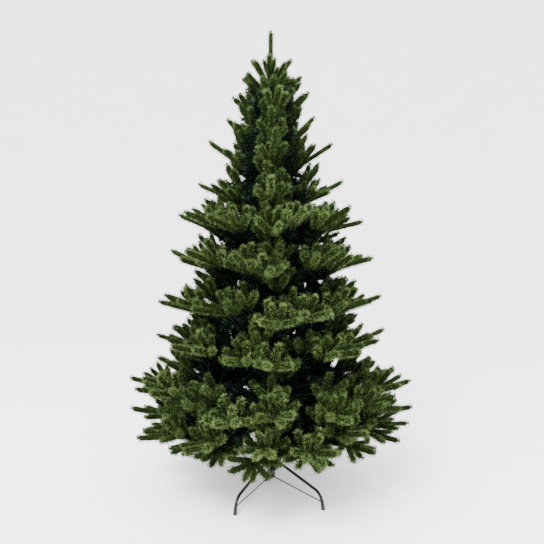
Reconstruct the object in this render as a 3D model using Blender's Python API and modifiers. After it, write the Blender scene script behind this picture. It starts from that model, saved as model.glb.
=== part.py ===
"""Artificial Christmas tree on a folding metal stand with four legs.

Frame: origin on the floor under the pole's axis, +Z up, -Y towards the viewer.
All sizes are in metres. An azimuth is counted from -Y towards +X, in degrees.

The pole is whole from its foot to its tip. Each bough with its needles is one mass that
keeps to its own space: a wedge of azimuth between the two cones that bound its tier.
"""

import math
import random

import bmesh
import bpy
from mathutils import Matrix, Vector

# General
OBJECT_NAME = "christmas_tree"
CLEARANCE = 0.0003
MERGE = 0.00005
WELD = 0.00002
SEED = 2100

# Pole: radius of each section and the height of its top end
POLE_TIP_Z = 1.7600
POLE_SECTIONS = ((0.0160, 0.560), (0.0140, 1.480), (0.0095, POLE_TIP_Z))
POLE_STEP = 0.004
POLE_SIDES = 16

# Stand: socket and its rounded bottom cap
SOCKET_INNER = 0.0165
SOCKET_OUTER = 0.0181
SOCKET_TOP_Z = 0.1560
CAP_OUTER = 0.0206
CAP_FOOT_Z = 0.0020
CAP_FLOOR_Z = 0.0070
SEAT_Z = CAP_FLOOR_Z + CLEARANCE
CAP_TOP_Z = 0.0230
CAP_ROUND = 0.0050
TURNED_STEPS = 24

# Stand: collar that carries the legs
COLLAR_OUTER = 0.0215
COLLAR_Z = 0.1040
COLLAR_HEIGHT = 0.0200
LUG_REACH = 0.0290
LUG_WIDTH = 0.0120
LUG_HEIGHT = 0.0160

# Stand: legs, counted as azimuths of the two that face the viewer
LEG_AZIMUTHS = (-23.5, 36.5)
LEG_RADIUS = 0.0066
LEG_FOOT_REACH = 0.3870
LEG_BEND_REACH = 0.3720
LEG_BEND_Z = 0.0660
LEG_BEND_RADIUS = 0.0560
LEG_BEND_STEPS = 7
FOOT_RADIUS = 0.0086
FOOT_BORE = LEG_RADIUS + 2 * CLEARANCE
FOOT_LENGTH = 0.0240
FOOT_SOLE = 0.0070
FOOT_STEPS = 12

# Stand: thin braces between the bottom cap and the legs
BRACE_RADIUS = 0.0026
BRACE_START_Z = 0.0110
BRACE_END_Z = 0.0310
BRACE_END_BACK = 0.0086

# Crown, from the lowest tier up: pole height, reach, tip height, boughs, first azimuth, skew of the wedges
TIERS = (
    (0.270, 0.685, 0.350, 5, 90.0, 0.0),
    (0.405, 0.680, 0.475, 5, -90.0, 0.0),
    (0.580, 0.545, 0.695, 4, 0.0, 9.0),
    (0.755, 0.530, 0.870, 4, 4.0, -9.0),
    (0.940, 0.480, 1.090, 4, -2.0, 9.0),
    (1.105, 0.432, 1.275, 4, 2.0, -9.0),
    (1.265, 0.340, 1.430, 4, 0.0, 9.0),
    (1.410, 0.287, 1.615, 4, 0.0, -9.0),
    (1.530, 0.203, 1.710, 4, 0.0, 12.0),
    (1.650, 0.178, 1.820, 4, 10.0, -9.0),
)
CROWN_UNDERSIDE = 0.110
LEADER_ROOT_CLEAR = 0.060
TREE_TOP_Z = 2.100

# Boughs: a tapering stem, a faceted core where the needles are dense, and sprays that stand out of it
STEM_SIDES = 4
STEM_ROOT_RADIUS = 0.0060
STEM_TIP_RADIUS = 0.0032
CORE_MIN_REACH = 0.250
CORE_STEM = 0.80
CORE_SECTIONS = ((0.16, 0.52, 0.90), (0.54, 0.84, 0.72), (0.88, 0.72, 0.36))
CORE_RIDGE = 0.50
CORE_EDGE_DROP = 0.15
CORE_ROUGHNESS = 0.12
RIM_BACK = 0.155
RIM_SHARE = 0.50
RIM_EDGE = 0.84
RIM_SIDE_ROOM = 0.030
ROOT_INWARD = 0.90

# Rings of sprays: root's place and lift in the core, tip's reach and lift, all as shares, and the spacing
SPRAY_RINGS = (
    (0.90, 0.00, 0.97, 0.06, 0.128),
    (0.72, 0.20, 0.82, 0.72, 0.170),
    (0.76, -0.20, 0.84, -0.66, 0.200),
)
LEAST_IN_RING = 3
SIDE_SHORTER = 0.07
TIP_JITTER = 0.04
LIFT_JITTER = 0.16

# Sprays straight on a short stem: place on it, yaw and pitch
LOOSE_SPRAYS = (
    (0.46, 40.0, 8.0),
    (0.40, -40.0, 8.0),
    (0.52, 4.0, 34.0),
    (0.26, 26.0, 22.0),
    (0.22, -26.0, 22.0),
)
LOOSE_SHARE = 0.56
LOOSE_STEM = 0.75
ROOT_JITTER = 0.0008
SPRAY_LENGTH = 0.150
SPRAY_RADIUS = 0.0270
SPRAY_LEAST_WIDTH = 0.45
SPRAY_SIZE_WIDTH = 0.40
SPRAY_ROOT_RADIUS = 0.0060
SPRAY_FIRST_BARB = 0.36
SPRAY_LAST_BARB = 0.72
SPRAY_BARB_STEP = 0.02
SPRAY_NARROW = 0.55
SPRAY_THINNING = 0.12
SPRAY_SIDES = 3
SPRAY_TWIST = -60.0
SPRAY_BARBS = 2
SPRAY_SIZES = (1.0, 0.85, 0.7, 0.55)
SPACE_MARGIN = 0.0025
SPACE_SAMPLES = 9
SPACE_ROOT_SHARE = 0.20
SPACE_TIP_SHARE = 0.02
SPACE_TIP_TAPER = 2.60
JITTER_DEGREES = 6.0

# Leader, with each whorl's height above the pole's tip, reach, rise, count and first azimuth
LEADER_RADIUS = 0.0150
WHORL_RADIUS = 0.0190
LEADER_STEM_RADIUS = 0.0045
LEADER_STEM_LENGTH = 0.160
LEADER_SPRAY_START = 0.040
LEADER_BARBS = 4
WHORL_HEIGHT_JITTER = 0.004
WHORL_SHORTEST = 0.92
LEADER_WHORLS = ((0.088, 0.092, 0.124, 4, 85.0), (0.036, 0.152, 0.092, 5, 100.0))

COLOURS = {
    "foliage": ((0.060, 0.105, 0.022), 0.70, 0.0),
    "pole": ((0.030, 0.042, 0.026), 0.45, 0.3),
    "socket": ((0.050, 0.060, 0.048), 0.40, 0.4),
    "black_steel": ((0.012, 0.012, 0.013), 0.32, 0.5),
    "black_plastic": ((0.010, 0.010, 0.010), 0.55, 0.0),
}


def clear_scene():
    """Remove every object that the start-up scene holds."""
    for scene_object in list(bpy.data.objects):
        bpy.data.objects.remove(scene_object)


def make_collection(name):
    """Add an empty collection to the scene."""
    collection = bpy.data.collections.new(name)
    bpy.context.scene.collection.children.link(collection)
    return collection


def make_material(name):
    """Make the Principled material of one finish from its colour, roughness and metallic value."""
    if name in bpy.data.materials:
        return bpy.data.materials[name]
    colour, roughness, metallic = COLOURS[name]
    material = bpy.data.materials.new(name)
    material.use_nodes = True
    shader = material.node_tree.nodes["Principled BSDF"]
    shader.inputs["Base Color"].default_value = (*colour, 1.0)
    shader.inputs["Roughness"].default_value = roughness
    shader.inputs["Metallic"].default_value = metallic
    material.diffuse_color = (*colour, 1.0)
    return material


def add_object(name, data, collection, finish):
    """Link a new object with its finish."""
    data.materials.append(make_material(finish))
    new_object = bpy.data.objects.new(name, data)
    collection.objects.link(new_object)
    return new_object


def mesh_from_bmesh(name, shape):
    """Turn a bmesh into a mesh and free it."""
    mesh = bpy.data.meshes.new(name)
    shape.to_mesh(mesh)
    shape.free()
    return mesh


def turned_object(name, profile, steps, collection, finish, ring=False):
    """Turn a profile of (radius, height) points, given down its outer side, about +Z."""
    shape = bmesh.new()
    corners = [shape.verts.new((radius, 0.0, height)) for radius, height in profile]
    for start, end in zip(corners, corners[1:]):
        shape.edges.new((start, end))
    if ring:
        shape.edges.new((corners[-1], corners[0]))
    turned = add_object(name, mesh_from_bmesh(name, shape), collection, finish)
    screw = turned.modifiers.new("turn", "SCREW")
    screw.axis = "Z"
    screw.angle = math.tau
    screw.steps = steps
    screw.render_steps = steps
    screw.use_merge_vertices = True
    screw.merge_threshold = MERGE
    return turned


def tube_object(name, points, radius, collection, finish):
    """Make a tube or rod of one radius along a line of points."""
    curve = bpy.data.curves.new(name, "CURVE")
    curve.dimensions = "3D"
    curve.bevel_depth = radius
    curve.bevel_resolution = 2
    curve.use_fill_caps = True
    spline = curve.splines.new("POLY")
    spline.points.add(len(points) - 1)
    for spline_point, place in zip(spline.points, points):
        spline_point.co = (*place, 1.0)
    return add_object(name, curve, collection, finish)


def cylindrical(reach, azimuth, height):
    """Give the place at a reach and an azimuth in degrees."""
    angle = math.radians(azimuth)
    return Vector((reach * math.sin(angle), -reach * math.cos(angle), height))


def evaluated_mesh(source):
    """Give a mesh of an object as its modifiers leave it."""
    bpy.context.view_layer.update()
    graph = bpy.context.evaluated_depsgraph_get()
    return bpy.data.meshes.new_from_object(source.evaluated_get(graph))


def keep_largest_body(mesh):
    """Weld slivers, then drop loose scraps and the inner walls of sealed hollows."""
    shape = bmesh.new()
    shape.from_mesh(mesh)
    bmesh.ops.triangulate(shape, faces=shape.faces)
    bmesh.ops.remove_doubles(shape, verts=shape.verts, dist=WELD)
    bmesh.ops.dissolve_degenerate(shape, edges=shape.edges, dist=WELD)
    bmesh.ops.triangulate(shape, faces=shape.faces)
    left = set(shape.faces)
    bodies = []
    while left:
        front = [left.pop()]
        body = set(front)
        while front:
            face = front.pop()
            for edge in face.edges:
                for neighbour in edge.link_faces:
                    if neighbour in left:
                        left.remove(neighbour)
                        body.add(neighbour)
                        front.append(neighbour)
        bodies.append(body)
    largest = max(bodies, key=len)
    loose = [face for body in bodies if body is not largest for face in body]
    bmesh.ops.delete(shape, geom=loose, context="FACES")
    shape.to_mesh(mesh)
    shape.free()


def fuse(base, pieces, solver="MANIFOLD"):
    """Join the pieces to the base by one Boolean union on a collection, then apply it."""
    group = make_collection(base.name + "_pieces")
    for piece in pieces:
        group.objects.link(piece)
    union = base.modifiers.new("fuse", "BOOLEAN")
    union.operation = "UNION"
    union.operand_type = "COLLECTION"
    union.collection = group
    union.solver = solver
    fused = evaluated_mesh(base)
    base.modifiers.remove(union)
    keep_largest_body(fused)
    plain = base.data
    base.data = fused
    bpy.data.meshes.remove(plain)
    for piece in pieces:
        bpy.data.objects.remove(piece)
    bpy.data.collections.remove(group)


def pole_radius(height):
    """Give the pole's radius at a height."""
    for radius, top in POLE_SECTIONS:
        if height <= top:
            return radius
    return POLE_SECTIONS[-1][0]


def build_pole(collection):
    """Make the pole: three sections, each slimmer than the one below."""
    profile = [(0.0, POLE_TIP_Z)]
    above = None
    for radius, top in reversed(POLE_SECTIONS):
        if above is not None:
            profile.append((above, top + POLE_STEP))
        profile.append((radius, top))
        above = radius
    profile.append((above, SEAT_Z))
    profile.append((0.0, SEAT_Z))
    turned_object("pole", profile, POLE_SIDES, collection, "pole")


def build_socket(collection):
    """Make the tube that takes the pole's foot."""
    profile = (
        (SOCKET_INNER, SEAT_Z),
        (SOCKET_INNER, SOCKET_TOP_Z),
        (SOCKET_OUTER, SOCKET_TOP_Z),
        (SOCKET_OUTER, SEAT_Z),
    )
    turned_object("stand_socket", profile, TURNED_STEPS, collection, "socket", ring=True)


def build_bottom_cap(collection):
    """Make the rounded cup that closes the socket's foot."""
    bore = SOCKET_OUTER + CLEARANCE
    edge = CAP_ROUND * (1.0 - math.sqrt(0.5))
    profile = (
        (0.0, CAP_FLOOR_Z),
        (bore, CAP_FLOOR_Z),
        (bore, CAP_TOP_Z),
        (CAP_OUTER, CAP_TOP_Z),
        (CAP_OUTER, CAP_FOOT_Z + CAP_ROUND),
        (CAP_OUTER - edge, CAP_FOOT_Z + edge),
        (CAP_OUTER - CAP_ROUND, CAP_FOOT_Z),
        (0.0, CAP_FOOT_Z),
    )
    turned_object("stand_bottom_cap", profile, TURNED_STEPS, collection, "black_plastic")


def leg_azimuths():
    """Give the four legs' azimuths: two towards the viewer and their opposites."""
    front = list(LEG_AZIMUTHS)
    return front + [azimuth + 180.0 for azimuth in front]


def build_collar(collection):
    """Make the ring round the socket, with one lug for each leg."""
    bore = SOCKET_OUTER + CLEARANCE
    half = COLLAR_HEIGHT / 2
    profile = (
        (bore, COLLAR_Z - half),
        (bore, COLLAR_Z + half),
        (COLLAR_OUTER, COLLAR_Z + half),
        (COLLAR_OUTER, COLLAR_Z - half),
    )
    collar = turned_object("stand_collar", profile, TURNED_STEPS, collection, "black_steel", ring=True)
    ring = evaluated_mesh(collar)
    collar.modifiers.clear()
    collar.data = ring
    lugs = []
    sunk = (bore + COLLAR_OUTER) / 2
    for azimuth in leg_azimuths():
        shape = bmesh.new()
        bmesh.ops.create_cube(shape, size=1.0)
        bmesh.ops.scale(shape, vec=(LUG_WIDTH, LUG_REACH - sunk, LUG_HEIGHT), verts=shape.verts)
        lug = add_object("lug", mesh_from_bmesh("lug", shape), collection, "black_steel")
        lug.location = cylindrical((LUG_REACH + sunk) / 2, azimuth, COLLAR_Z)
        lug.rotation_euler = (0.0, 0.0, math.radians(azimuth))
        lugs.append(lug)
    fuse(collar, lugs, solver="EXACT")


def foot_direction():
    """Give the slope of a leg's last run, down and outward, as a (reach, height) direction."""
    return (Vector((LEG_FOOT_REACH, 0.0)) - Vector((LEG_BEND_REACH, LEG_BEND_Z))).normalized()


def leg_path():
    """Give one leg's line as (reach, height) points: a long run, a round bend and a steep end."""
    start = Vector((LUG_REACH, COLLAR_Z))
    bend = Vector((LEG_BEND_REACH, LEG_BEND_Z))
    foot = Vector((LEG_FOOT_REACH, 0.0))
    run = (bend - start).normalized()
    drop = foot_direction()
    end_gap = CLEARANCE + LEG_RADIUS * abs(run.y / run.x)
    turn = run.angle(drop)
    cut_back = LEG_BEND_RADIUS * math.tan(turn / 2)
    arc_start = bend - run * cut_back
    inward = Vector((run.y, -run.x))
    centre = arc_start + inward * LEG_BEND_RADIUS
    points = [start + run * end_gap]
    for step in range(LEG_BEND_STEPS + 1):
        angle = turn * step / LEG_BEND_STEPS
        radial = -inward * math.cos(angle) + run * math.sin(angle)
        points.append(centre + radial * LEG_BEND_RADIUS)
    points.append(foot - drop * (FOOT_SOLE + CLEARANCE))
    return points


def build_legs(collection):
    """Make the four bent legs."""
    for number, azimuth in enumerate(leg_azimuths(), start=1):
        points = [cylindrical(place.x, azimuth, place.y) for place in leg_path()]
        tube_object(f"stand_leg_{number}", points, LEG_RADIUS, collection, "black_steel")


def build_feet(collection, cutters):
    """Make the plastic cups on the legs' ends, cut flat where they meet the floor."""
    drop = foot_direction()
    tilt = math.atan2(drop.x, -drop.y)
    profile = (
        (0.0, FOOT_SOLE),
        (FOOT_BORE, FOOT_SOLE),
        (FOOT_BORE, FOOT_LENGTH),
        (FOOT_RADIUS, FOOT_LENGTH),
        (FOOT_RADIUS, -FOOT_SOLE),
        (0.0, -FOOT_SOLE),
    )
    shape = bmesh.new()
    bmesh.ops.create_cube(shape, size=1.0)
    floor_cutter = bpy.data.objects.new("floor_cutter", mesh_from_bmesh("floor_cutter", shape))
    floor_cutter.location = (0.0, 0.0, -0.5)
    floor_cutter.hide_render = True
    floor_cutter.display_type = "WIRE"
    cutters.objects.link(floor_cutter)
    for number, azimuth in enumerate(leg_azimuths(), start=1):
        foot = turned_object(f"stand_foot_{number}", profile, FOOT_STEPS, collection, "black_plastic")
        lean = Matrix.Rotation(math.radians(azimuth), 4, "Z") @ Matrix.Rotation(-tilt, 4, "X")
        place = Matrix.Translation(cylindrical(LEG_FOOT_REACH, azimuth, 0.0))
        foot.matrix_world = place @ lean
        cut = foot.modifiers.new("flat_sole", "BOOLEAN")
        cut.operation = "DIFFERENCE"
        cut.object = floor_cutter


def build_braces(collection):
    """Make the thin straight braces that spread the legs."""
    start_reach = CAP_OUTER + CLEARANCE
    drop = foot_direction()
    leg_reach = LEG_FOOT_REACH + BRACE_END_Z * drop.x / drop.y
    for number, azimuth in enumerate(leg_azimuths(), start=1):
        start = cylindrical(start_reach, azimuth, BRACE_START_Z)
        end = cylindrical(leg_reach - BRACE_END_BACK, azimuth, BRACE_END_Z)
        tube_object(f"stand_brace_{number}", (start, end), BRACE_RADIUS, collection, "black_steel")


class Space:
    """The room of one mass: a wedge of azimuth between a lower and an upper cone."""

    def __init__(self, azimuth, half_angle, lower, upper):
        self.azimuth = azimuth
        self.half_angle = half_angle
        self.lower = lower
        self.upper = upper

    def holds(self, place, radius):
        """Tell whether a ball of the given radius is inside, with the margin."""
        room = radius + SPACE_MARGIN
        reach = math.hypot(place.x, place.y)
        azimuth = math.degrees(math.atan2(place.x, -place.y))
        swing = abs((azimuth - self.azimuth + 180.0) % 360.0 - 180.0)
        if swing > self.half_angle or reach * math.sin(math.radians(self.half_angle - swing)) < room:
            return False
        for cone, sign in ((self.lower, 1.0), (self.upper, -1.0)):
            base, slope = cone
            if sign * (place.z - base - slope * reach) / math.hypot(1.0, slope) < room:
                return False
        return True


def tier_cone(tier):
    """Give the cone on which a tier's boughs lie, as its height at the axis and its slope."""
    pole_height, reach, tip_height = tier[:3]
    return pole_height, (tip_height - pole_height) / reach


def cone_between(first, second):
    """Give the cone halfway between two others."""
    return (first[0] + second[0]) / 2, (first[1] + second[1]) / 2


def add_loft(shape, rings, tip):
    """Join rings of corners into one closed body that ends in a point."""
    corners = [[shape.verts.new(place) for place in ring] for ring in rings]
    sides = len(rings[0])
    shape.faces.new(list(reversed(corners[0])))
    for low, high in zip(corners, corners[1:]):
        for side in range(sides):
            following = (side + 1) % sides
            shape.faces.new((low[side], low[following], high[following]))
            shape.faces.new((low[side], high[following], high[side]))
    point = shape.verts.new(tip)
    for side in range(sides):
        shape.faces.new((corners[-1][side], corners[-1][(side + 1) % sides], point))


def spray_profile(barbs):
    """Give a spray's sections as (place along it, share of its radius): barbs that point forward."""
    sections = []
    for barb in range(barbs):
        along = barb / (barbs - 1)
        width = 1.0 - SPRAY_THINNING * barb
        if barb:
            sections.append((sections[-1][0] + SPRAY_BARB_STEP, SPRAY_NARROW * width))
        sections.append((SPRAY_FIRST_BARB + (SPRAY_LAST_BARB - SPRAY_FIRST_BARB) * along, width))
    return sections


def spray_piece(root, direction, length, radius, turn, barbs, collection):
    """Make one spray of needles: a slim three-sided core whose edges stand out as barbs."""
    across = direction.orthogonal().normalized()
    over = direction.cross(across)

    def ring(place, ring_radius, twist):
        centre = root + direction * (length * place)
        corners = []
        for side in range(SPRAY_SIDES):
            angle = math.radians(turn + twist) + math.tau * side / SPRAY_SIDES
            corners.append(centre + (across * math.cos(angle) + over * math.sin(angle)) * ring_radius)
        return corners

    rings = [ring(0.0, SPRAY_ROOT_RADIUS, 0.0)]
    for number, (place, share) in enumerate(spray_profile(barbs)):
        rings.append(ring(place, radius * share, SPRAY_TWIST * (number // 2)))
    shape = bmesh.new()
    add_loft(shape, rings, root + direction * length)
    bmesh.ops.recalc_face_normals(shape, faces=shape.faces)
    return add_object("spray", mesh_from_bmesh("spray", shape), collection, "foliage")


def limb_piece(start, end, root_radius, tip_radius, collection):
    """Make one straight tapering limb."""
    axis = end - start
    turn = axis.to_track_quat("Z", "Y").to_matrix().to_4x4()
    shape = bmesh.new()
    bmesh.ops.create_cone(
        shape,
        cap_ends=True,
        segments=STEM_SIDES,
        radius1=root_radius,
        radius2=tip_radius,
        depth=axis.length,
        matrix=Matrix.Translation((start + end) / 2) @ turn,
    )
    return add_object("limb", mesh_from_bmesh("limb", shape), collection, "foliage")


class Mass:
    """One bough's place: its tier's sizes, its azimuth, and the space it keeps to."""

    def __init__(self, tier, azimuth, space):
        self.pole_height, self.reach, self.tip_height, count, _, self.skew = tier
        self.slope = (self.tip_height - self.pole_height) / self.reach
        self.azimuth = azimuth
        self.half_angle = 180.0 / count
        self.space = space
        self.rim = max(self.reach - RIM_BACK, RIM_SHARE * self.reach)

    def point(self, reach, share, lift=0.0):
        """Give a place at a reach and a share of the wedge's side, lifted by a share of the room there."""
        side = self.half_angle + math.copysign(self.skew, share)
        height = self.pole_height + self.slope * reach + lift * self.room(reach, lift)
        return cylindrical(reach, self.azimuth + share * side, height)

    def edge(self, share):
        """Give the reach of the core's edge at a share of the wedge's side."""
        inner_reach, inner_width = CORE_SECTIONS[-1][:2]
        outer_reach, outer_width = 1.0, 0.0
        if abs(share) > inner_width:
            outer_reach, outer_width = inner_reach, inner_width
            inner_reach, inner_width = CORE_SECTIONS[-2][:2]
        along = (abs(share) - outer_width) / (inner_width - outer_width)
        return self.rim * (outer_reach + (inner_reach - outer_reach) * along)

    def room(self, reach, sign):
        """Give the height between the tier's cone and the space's upper or lower cone."""
        cone = self.space.upper if sign > 0.0 else self.space.lower
        return abs(cone[0] + cone[1] * reach - self.pole_height - self.slope * reach)


def core_piece(mass, chance, collection):
    """Make a mass's core: a faceted wedge, thick at the pole and pointed where it faces out."""
    sections = []
    for reach_share, width, thickness in CORE_SECTIONS:
        corners = (
            (-width, -CORE_EDGE_DROP * thickness),
            (-width * CORE_RIDGE, thickness),
            (width * CORE_RIDGE, thickness),
            (width, -CORE_EDGE_DROP * thickness),
            (0.0, -thickness),
        )
        section = []
        for share, lift in corners:
            rough = 1.0 - chance.uniform(0.0, CORE_ROUGHNESS)
            section.append(mass.point(mass.rim * reach_share, share, lift * rough))
        sections.append(section)
    shape = bmesh.new()
    add_loft(shape, sections, mass.point(mass.rim, 0.0))
    bmesh.ops.recalc_face_normals(shape, faces=shape.faces)
    return add_object("core", mesh_from_bmesh("core", shape), collection, "foliage")


def spray_fits(space, root, direction, length, radius):
    """Tell whether a whole spray stays inside its space."""
    for sample in range(SPACE_SAMPLES):
        share = sample / (SPACE_SAMPLES - 1)
        at_root = SPACE_ROOT_SHARE + share / SPRAY_FIRST_BARB
        at_tip = SPACE_TIP_SHARE + SPACE_TIP_TAPER * (1.0 - share)
        if not space.holds(root + direction * (length * share), radius * min(1.0, at_root, at_tip)):
            return False
    return True


def fitted_spray(mass, root, direction, length, chance, collection):
    """Give the spray in a list, slimmer or shorter if it must be, or none where no size fits."""
    root = root + Vector([chance.uniform(-ROOT_JITTER, ROOT_JITTER) for _ in range(3)])
    width = min(1.0, SPRAY_LEAST_WIDTH + (1.0 - SPRAY_LEAST_WIDTH) * length / SPRAY_LENGTH)
    for size in SPRAY_SIZES:
        radius = SPRAY_RADIUS * width * (SPRAY_SIZE_WIDTH + (1.0 - SPRAY_SIZE_WIDTH) * size)
        if spray_fits(mass.space, root, direction, length * size, radius):
            turn = chance.uniform(0.0, 360.0 / SPRAY_SIDES)
            return [spray_piece(root, direction, length * size, radius, turn, SPRAY_BARBS, collection)]
    return []


def ring_sprays(mass, ring, chance, collection):
    """Set one ring of sprays round the outer edge, each from inside the core to its own tip."""
    root_share, root_lift, tip_share, lift, spacing = ring
    arc = mass.reach * tip_share * math.radians(2.0 * mass.half_angle)
    count = max(LEAST_IN_RING, 2 * round((arc / spacing - 1.0) / 2.0) + 1)
    outermost = min(RIM_EDGE, 1.0 - math.degrees(RIM_SIDE_ROOM / mass.rim) / mass.half_angle)
    sprays = []
    for number in range(count):
        share = outermost * (2.0 * number / (count - 1) - 1.0)
        longest = number == count // 2 and root_lift == 0.0
        shorter = 0.0 if longest else SIDE_SHORTER * share * share + chance.uniform(0.0, TIP_JITTER)
        reach = mass.reach if longest else mass.reach * (tip_share - shorter)
        tip_lift = 0.0 if longest else lift + chance.uniform(-LIFT_JITTER, LIFT_JITTER)
        root_side = share * ROOT_INWARD
        root = mass.point(mass.edge(root_side) * root_share, root_side, root_lift)
        path = mass.point(reach, share, tip_lift) - root
        sprays += fitted_spray(mass, root, path.normalized(), path.length, chance, collection)
    return sprays


def aim(outward, yaw, pitch):
    """Turn a direction sideways by the yaw and up by the pitch, in degrees."""
    sideways = outward.cross(Vector((0.0, 0.0, 1.0))).normalized()
    upward = sideways.cross(outward)
    level = outward * math.cos(math.radians(yaw)) + sideways * math.sin(math.radians(yaw))
    return (level * math.cos(math.radians(pitch)) + upward * math.sin(math.radians(pitch))).normalized()


def loose_sprays(mass, start, tip, chance, collection):
    """Set the sprays of a small bough straight on its stem."""
    path = tip - start
    root = start.lerp(tip, 1.0 - LOOSE_SHARE)
    sprays = fitted_spray(mass, root, path.normalized(), (tip - root).length, chance, collection)
    for place, yaw, pitch in LOOSE_SPRAYS:
        yaw += chance.uniform(-JITTER_DEGREES, JITTER_DEGREES)
        pitch += chance.uniform(-JITTER_DEGREES, JITTER_DEGREES)
        direction = aim(path.normalized(), yaw, pitch)
        length = path.length * LOOSE_SHARE
        sprays += fitted_spray(mass, start.lerp(tip, place), direction, length, chance, collection)
    return sprays


def grow_mass(name, mass, chance, collection):
    """Grow the bough of one mass, fused into one body."""
    corner = STEM_ROOT_RADIUS * math.sin(math.atan(mass.slope))
    root_reach = pole_radius(mass.pole_height) + CLEARANCE + corner
    start = mass.point(root_reach, 0.0)
    tip = mass.point(mass.reach, 0.0)
    if mass.reach > CORE_MIN_REACH:
        stem_end = start.lerp(mass.point(mass.rim, 0.0), CORE_STEM)
        pieces = [core_piece(mass, chance, collection)]
        for ring in SPRAY_RINGS:
            pieces += ring_sprays(mass, ring, chance, collection)
    else:
        stem_end = start.lerp(tip, LOOSE_STEM)
        pieces = loose_sprays(mass, start, tip, chance, collection)
    stem = limb_piece(start, stem_end, STEM_ROOT_RADIUS, STEM_TIP_RADIUS, collection)
    stem.name = name
    stem.data.name = name
    fuse(stem, pieces)


def build_masses(collection):
    """Make every tier's masses, from the lowest up."""
    cones = [tier_cone(tier) for tier in TIERS]
    for number, tier in enumerate(TIERS):
        count, first, skew = tier[3:]
        cone = cones[number]
        if number:
            lower = cone_between(cones[number - 1], cone)
        else:
            lower = (cone[0] - CROWN_UNDERSIDE, cone[1])
        if number + 1 < len(TIERS):
            upper = cone_between(cone, cones[number + 1])
        else:
            upper = (cone[0] + LEADER_ROOT_CLEAR, cone[1])
        for bough in range(count):
            azimuth = first + 360.0 * bough / count
            space = Space(azimuth + skew, 180.0 / count, lower, upper)
            chance = random.Random(SEED + 100 * number + bough)
            name = f"mass_tier_{number + 1}_{bough + 1}"
            grow_mass(name, Mass(tier, azimuth, space), chance, collection)


def build_leader(collection):
    """Make the top mass: the upright leader with its two small whorls."""
    chance = random.Random(SEED - 1)
    root = Vector((0.0, 0.0, POLE_TIP_Z + CLEARANCE))
    upright = Vector((0.0, 0.0, 1.0))
    stem_end = root + upright * LEADER_STEM_LENGTH
    stem = limb_piece(root, stem_end, LEADER_STEM_RADIUS, STEM_TIP_RADIUS, collection)
    leader_root = root + upright * LEADER_SPRAY_START
    leader_length = TREE_TOP_Z - leader_root.z
    turn = chance.uniform(0.0, 360.0 / SPRAY_SIDES)
    pieces = [spray_piece(leader_root, upright, leader_length, LEADER_RADIUS, turn, LEADER_BARBS, collection)]
    for height, reach, rise, count, first in LEADER_WHORLS:
        for number in range(count):
            azimuth = first + 360.0 * number / count + chance.uniform(-JITTER_DEGREES, JITTER_DEGREES)
            start = root + upright * (height + chance.uniform(-WHORL_HEIGHT_JITTER, WHORL_HEIGHT_JITTER))
            tip = cylindrical(reach * chance.uniform(WHORL_SHORTEST, 1.0), azimuth, start.z + rise)
            path = tip - start
            turn = chance.uniform(0.0, 360.0 / SPRAY_SIDES)
            aimed = path.normalized()
            pieces.append(spray_piece(start, aimed, path.length, WHORL_RADIUS, turn, SPRAY_BARBS, collection))
    stem.name = "mass_leader"
    stem.data.name = "mass_leader"
    fuse(stem, pieces)


def main():
    """Build the stand, the pole and the crown."""
    clear_scene()
    tree = make_collection(OBJECT_NAME)
    cutters = make_collection("cutters")
    build_pole(tree)
    build_socket(tree)
    build_bottom_cap(tree)
    build_collar(tree)
    build_legs(tree)
    build_feet(tree, cutters)
    build_braces(tree)
    build_masses(tree)
    build_leader(tree)


main()
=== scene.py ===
"""Looks of an artificial Christmas tree on a folding metal stand.

Frame: metres, +Z up, -Y towards the viewer. An azimuth is counted from -Y towards +X, in degrees.
Every bough grows out of the pole on its tier's cone. Twigs leave it for hubs, and each hub carries a
fan of round needle tips. Filler twigs, dark as painted shade, close the inside.
"""

import logging
import math
from dataclasses import dataclass, field
from enum import Enum

import bmesh
import bpy
import numpy as np
from mathutils import Matrix, Vector


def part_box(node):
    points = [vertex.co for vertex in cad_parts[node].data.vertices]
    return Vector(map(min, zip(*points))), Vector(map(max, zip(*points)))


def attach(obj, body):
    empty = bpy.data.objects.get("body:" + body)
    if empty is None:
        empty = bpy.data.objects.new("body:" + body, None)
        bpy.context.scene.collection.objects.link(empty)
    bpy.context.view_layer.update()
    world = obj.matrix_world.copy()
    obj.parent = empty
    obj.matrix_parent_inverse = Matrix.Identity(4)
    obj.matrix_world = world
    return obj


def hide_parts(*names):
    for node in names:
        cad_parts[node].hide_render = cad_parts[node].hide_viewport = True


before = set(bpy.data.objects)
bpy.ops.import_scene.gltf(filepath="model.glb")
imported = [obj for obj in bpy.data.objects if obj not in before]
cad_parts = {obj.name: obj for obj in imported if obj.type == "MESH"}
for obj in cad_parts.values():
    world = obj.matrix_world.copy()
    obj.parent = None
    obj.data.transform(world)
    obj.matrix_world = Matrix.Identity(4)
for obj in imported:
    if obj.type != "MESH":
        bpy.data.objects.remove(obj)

BODY = "root"
UP = Vector((0.0, 0.0, 1.0))
GOLDEN_ANGLE = math.pi * (3.0 - math.sqrt(5.0))
SEED = 2100
CLEARANCE = 0.0003
SHARP_ANGLE = 38.0
MOTTLE_DETAIL = 3.0
MOTTLE_EDGES = (0.35, 0.65)
BUMP_STRENGTH = 0.6

Colour = tuple[float, float, float]
Profile = list[tuple[float, float]]
Range = tuple[float, float]
log = logging.getLogger("tree")


class Tint(Enum):
    """The greens of the needles, from the freshest tips to the roots on a tip's wire. The deep green is
    partly a real deeper tone and partly painted shade; the shade and root greens are painted shade.
    """

    FRESH = 0
    LEAF = 1
    DEEP = 2
    FILLER = 3
    SHADE = 4
    ROOT = 5


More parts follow.
